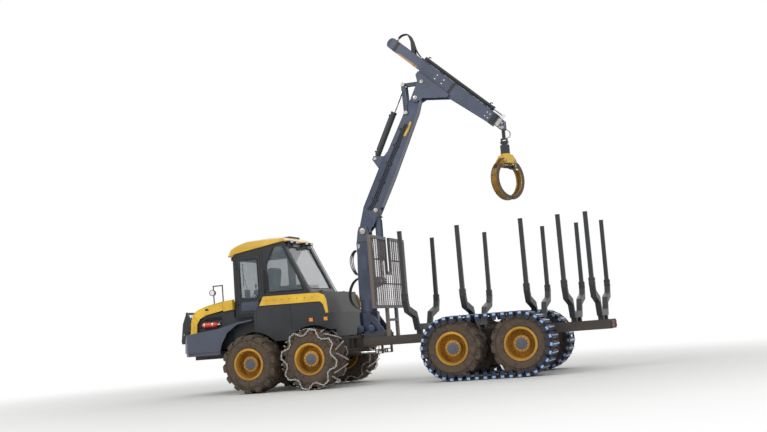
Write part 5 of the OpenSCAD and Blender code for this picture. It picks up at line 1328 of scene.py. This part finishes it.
def make_hoses():
    # Loops on the cab side of the column, over and under the slew deck's ports
    fittings = bmesh.new()
    face = COLUMN_X - 0.145
    for k, y in enumerate((-0.085, -0.030, 0.030, 0.085)):
        reach = 0.26 - 0.02 * (k % 2)
        loop = ((0, 3.10), (0.07, 3.115), (0.15, 3.05), (reach * 0.80, 2.90))
        loop += ((reach * 0.72, 2.72), (0.12, 2.58), (0.06, 2.535), (0, 2.53))
        points = [(face - out, y, z) for out, z in loop]
        free_hose("column_hose_%d" % (k + 1), points, COLUMN_HOSE_R, "column", fittings)
    loop = ((0, 2.46), (0.08, 2.45), (0.20, 2.36), (0.29, 2.18), (0.30, 1.99), (0.22, 1.83), (0.10, 1.755), (0, 1.745))
    for k, y in enumerate((-0.060, 0.0, 0.060)):
        points = [(face - out, y, z) for out, z in loop]
        free_hose("slew_hose_%d" % (k + 1), points, SLEW_HOSE_R, "column", fittings)
    for z in (2.49, 3.06):
        add_box(fittings, (COLUMN_X - 0.150, -0.12, z), (COLUMN_X - 0.138, 0.12, z + 0.08))
    add_piece("column_fittings", fittings, "zinc", "column", 40)
    # Jib: steel pipes along the top, clamped, and hoses from the prong down to them
    pipes, clamps = bmesh.new(), bmesh.new()
    for y in (-0.108, -0.078, 0.078, 0.108):
        add_tube(pipes, smooth_path([on_jib(x, 0.828, y) for x in (-0.46, 0.2, 1.0, 1.62)], 4), 0.0115, 8)
    for x in (-0.30, 0.12, 0.56, 1.00, 1.42):
        for y in (-0.093, 0.093):
            add_box(clamps, (x - 0.020, y - 0.034, 0.809), (x + 0.020, y + 0.034, 0.846), JIB_FRAME)
            add_bolt(clamps, on_jib(x, 0.845, y), turned(0, 1, JIB_ANGLE), 0.008, 0.008)
    add_piece("jib_pipes", pipes, "zinc_dark", "jib")
    add_piece("jib_pipe_clamps", clamps, "plastic", "jib", bevel=0.003)
    fittings = bmesh.new()
    over = ((-0.47, 0.832), (-0.60, 0.845), (-0.75, 0.905), (-0.90, 1.000), (-1.03, 1.065))
    over += ((-1.15, 1.060), (-1.235, 0.980), (-1.262, 0.890), (-1.265, 0.822))
    for k, y in enumerate((-0.045, 0.0, 0.045)):
        free_hose("prong_hose_%d" % (k + 1), [on_jib(u, v, y) for u, v in over], PRONG_HOSE_R, "jib", fittings)
    add_piece("prong_fittings", fittings, "zinc", "jib", 40)
    # Pair of hoses down the hanging link to the rotator's swivel: out, share of y and drop from the tip's pin
    fittings = bmesh.new()
    loop = ((0.036, 0.4, 0.06), (0.085, 0.8, 0.055), (0.135, 1, 0.10), (0.150, 1, 0.16))
    loop += ((0.130, 1, 0.215), (0.085, 0.8, 0.235), (0.070, 0.7, 0.252))
    for k, y in enumerate((-0.052, 0.052)):
        points = [(TIP_PIN.x + out, y * share, TIP_PIN.z - drop) for out, share, drop in loop]
        free_hose("link_hose_%d" % (k + 1), points, LINK_HOSE_R, "tip_link", fittings)
    add_piece("link_fittings", fittings, "zinc", "tip_link", 40)


make_hoses()

# Hydraulic cylinders: gland nuts, ports and feed pipes


def cylinder_fittings(name, foot, top, radius, body, gland_at, out):
    """Gland nut at gland_at metres from foot along the barrel, a port block at each end and a feed pipe between."""
    along = (top - foot).normalized()
    out = Vector(out)
    out = (out - along * out.dot(along)).normalized()
    bm = bmesh.new()
    nut = [(radius, 0.0), (radius * 1.12, 0.003), (radius * 1.12, 0.040)]
    nut += [(radius * 1.02, 0.050), (radius * 0.62, 0.050), (radius * 0.62, 0.0)]
    add_lathe(bm, nut, foot + along * (gland_at - 0.048), along, 36, closed=True)
    ring = [(radius, -0.010), (radius * 1.05, -0.010), (radius * 1.05, 0.010), (radius, 0.010)]
    for s in (0.16, gland_at - 0.10):
        add_lathe(bm, ring, foot + along * s, along, 36, closed=True)
        place = foot + along * s + out * radius * 0.94
        add_rod(bm, place, place + out * 0.036, 0.020, 6)
    pipe = ((gland_at - 0.10, 0.009), (gland_at - 0.16, 0.009), (0.30, 0.009), (0.22, 0.004))
    add_tube(bm, smooth_path([foot + along * s + out * (radius + rise) for s, rise in pipe], 5), 0.010, 8)
    add_piece(name, bm, "black", body, 40)


# The lift cylinder hangs by its barrel, so its gland is counted from the top
cylinder_fittings("lift_gland", LIFT_TOP, LIFT_FOOT, 0.080, "lift_barrel", 1.15, (1, 0, 0))
cylinder_fittings("jib_gland", JIB_FOOT, JIB_EYE, 0.068, "jib_barrel", 1.18, turned(0, 1, BOOM_ANGLE))

# Column and slew gear


def make_column_details():
    bm = bmesh.new()
    slew_ring = (COLUMN_X, 0, 1.640)
    bolt_circle(bm, slew_ring, (0, 0, 1), circle=0.205, count=16, radius=0.014, height=0.018, start=math.pi / 16)
    add_piece("slew_bolts", bm, "zinc_dark", "rear_unit", 0)
    bm = bmesh.new()
    cap = [(0.082, 0.0), (0.084, 0.004), (0.084, 0.022), (0.070, 0.030), (0.020, 0.032)]
    for x in (COLUMN_X - 0.13, COLUMN_X + 0.13):
        for side in (-1, 1):
            add_lathe(bm, cap, (x, side * 0.330, 1.268), (0, side, 0), 32)
            bolt_circle(bm, (x, side * 0.352, 1.268), (0, side, 0), circle=0.066, count=8, radius=0.007, height=0.010)
    add_piece("slew_cylinder_ends", bm, "crane", "rear_unit", 40)
    bm = bmesh.new()
    for sx in (-1, 1):
        for sy in (-1, 1):
            x, y = COLUMN_X + sx * 0.1405, sy * 0.1405
            weld_line(bm, [(x, y, 1.70), (x, y, 3.30)])
    add_piece("column_welds", bm, "crane", "column", 60)
    # Bolted access plate on the left side and a bare scrape under the boom's foot
    bm = bmesh.new()
    add_prism(bm, rectangle(-0.62, -0.44, 2.62, 2.98), -0.008, 0.001, side_at(-0.140))
    for x in (-0.60, -0.46):
        for z in (2.64, 2.80, 2.96):
            add_bolt(bm, (x, -0.147, z), (0, -1, 0), 0.009, 0.008)
    add_piece("column_plate", bm, "crane", "column", bevel=0.002)
    bm = bmesh.new()
    scrape = [(-0.655, 3.14), (-0.60, 3.16), (-0.59, 3.24), (-0.65, 3.25)]
    add_prism(bm, scrape, -0.0035, 0.001, side_at(-0.140))
    add_piece("column_scrape", bm, "bare", "column", bevel=0.001)


make_column_details()

# Grapple: worn edges, studs and rotator bolts


def make_grapple_details():
    turn = Matrix.Translation((TIP_PIN.x, 0, 0)) @ Matrix.Rotation(CLAW_TURN, 4, "Z")
    for name, s in (("claw_a", 1), ("claw_b", -1)):
        bm = bmesh.new()
        for side in (-1, 1):
            # Edge of each plate that rubs on what it grips, and the outer edge, scraped on the ground:
            # radius, place across, first angle, sweep, steps and thickness
            for r, y, first, sweep, steps, wire in (
                (0.3865, 0.077, 60, 146, 24, 0.0075),
                (0.4685, 0.080, -28, 58, 14, 0.0065),
            ):
                angles = [math.radians(first - sweep * k / steps) for k in range(steps + 1)]
                edge = [Vector((s * r * math.cos(a), side * y, CLAW_MID_Z + r * math.sin(a))) for a in angles]
                add_tube(bm, [turn @ p for p in edge], wire, 6)
        add_piece(name + "_wear", bm, "bare", name, 60)
        bm = bmesh.new()
        for a in (math.radians(10 - 25 * k) for k in range(4)):
            out = Vector((s * math.cos(a), 0, math.sin(a)))
            for y in (-0.04, 0.04):
                place = Vector((s * 0.471 * math.cos(a), y, CLAW_MID_Z + 0.471 * math.sin(a)))
                add_bolt(bm, turn @ place, turn.to_3x3() @ out, 0.010, 0.008)
        add_piece(name + "_studs", bm, "zinc_dark", name, 0)
    bm = bmesh.new()
    bolt_circle(bm, (TIP_PIN.x, 0, ROTATOR_LOW + 0.200), (0, 0, 1), circle=0.088, count=12, radius=0.009)
    ring = [(0.105, 0.0), (0.1085, 0.003), (0.1085, 0.020), (0.105, 0.023)]
    for z in (0.020, 0.090, 0.160):
        add_lathe(bm, ring, (TIP_PIN.x, 0, ROTATOR_LOW + z), (0, 0, 1), 40, closed=True)
    add_piece("rotator_rings", bm, "black", "rotator", 40)
    bm = bmesh.new()
    flange = (TIP_PIN.x, 0, ROTATOR_LOW - 0.032)
    bolt_circle(bm, flange, (0, 0, -1), circle=0.112, count=12, radius=0.007, height=0.010, start=math.pi / 12)
    add_piece("head_bolts", bm, "zinc_dark", "grapple", 0)


make_grapple_details()

# Rear unit: stake caps and pockets, gate mesh, tail lamps, frame bolts; bogie caps on both units

MESH_PITCH = 0.0461
# Slot in the gate that its mesh keeps out of: half width and lower end
SLOT_HALF = 0.185
SLOT_LOW = 2.47


def make_rear_details():
    caps, pockets = bmesh.new(), bmesh.new()
    top = [(1.283, 3.322), (1.352, 3.322), (1.350, 3.338), (1.340, 3.345), (1.295, 3.345), (1.286, 3.338)]
    # Pocket that clasps the stake's foot
    foot = [(1.205, 1.80), (1.332, 1.80), (1.338, 1.96), (1.222, 1.96)]
    for x in BUNK_X:
        for side in (-1, 1):
            add_prism(caps, top, x - 0.048, x + 0.048, along_x(side))
            add_prism(pockets, foot, x - 0.062, x - 0.046, along_x(side))
            add_prism(pockets, foot, x + 0.046, x + 0.062, along_x(side))
            for z in (1.84, 1.92):
                for end in (-1, 1):
                    add_bolt(pockets, (x + end * 0.062, side * 1.272, z), (end, 0, 0), 0.012, 0.010)
    add_piece("stake_caps", caps, "black", "rear_unit", bevel=0.004)
    add_piece("stake_pockets", pockets, "black", "rear_unit", 30)
    # Woven mesh over the gate's bars, at 46 mm drawn, left out of the slot
    bm = bmesh.new()
    wire = 0.0028
    for k in range(1, 53):
        y = -1.22 + MESH_PITCH * k
        if abs(y) >= SLOT_HALF:
            add_rod(bm, (0.033, y, 1.765), (0.033, y, 3.285), wire, 5)
    for k in range(1, 33):
        z = 1.765 + MESH_PITCH * k
        for y0, y1 in ((-1.222, -0.178), (0.178, 1.222)) if z > SLOT_LOW else ((-1.222, 1.222),):
            add_rod(bm, (0.037, y0, z), (0.037, y1, z), wire, 5)
    add_piece("gate_mesh", bm, "gate", "rear_unit", 60)
    places = [(-0.012, y, z) for y in (-1.255, 1.255) for z in (1.78, 2.20, 2.75, 3.28)]
    bolts("gate_bolts", places, (-1, 0, 0), "rear_unit", 0.014, 0.012, "zinc_dark")
    # Tail lamps on their brackets at the frame's end
    boxes, lenses = bmesh.new(), bmesh.new()
    for side in (-1, 1):
        add_box(boxes, (5.055, side * 0.34 - 0.085, 0.885), (5.078, side * 0.34 + 0.085, 1.035))
        for z, y in ((0.925, 0.30), (0.925, 0.38), (0.995, 0.34)):
            lens_profile = [(0.026, 0.0), (0.028, 0.003), (0.024, 0.009), (0.008, 0.012)]
            add_lathe(lenses, lens_profile, (5.078, side * y, z), (1, 0, 0), 24)
    add_piece("tail_lamp_boxes", boxes, "plastic", "rear_unit", bevel=0.004)
    add_piece("tail_lamp_lenses", lenses, "red_lens", "rear_unit", 80)
    bm = bmesh.new()
    for side in (-1, 1):
        for x in BUNK_X:
            for dx in (-0.045, 0.045):
                add_bolt(bm, (x + dx, side * 0.411, 0.985), (0, side, 0))
    add_piece("frame_bolts", bm, "zinc_dark", "rear_unit", 0)
    # Bogie caps between each pair of wheels
    cap = [(0.120, 0.0), (0.120, 0.012), (0.100, 0.020), (0.040, 0.022)]
    for unit, x in (("front_unit", FRONT_BOGIE_X), ("rear_unit", REAR_BOGIE_X)):
        bm = bmesh.new()
        for side in (-1, 1):
            add_lathe(bm, cap, (x, side * 0.700, 0.70), (0, side, 0), 36)
            bolt_circle(bm, (x, side * 0.716, 0.70), (0, side, 0), circle=0.095, count=8, radius=0.011)
        add_piece("bogie_caps_" + unit, bm, "chassis", unit)


make_rear_details()
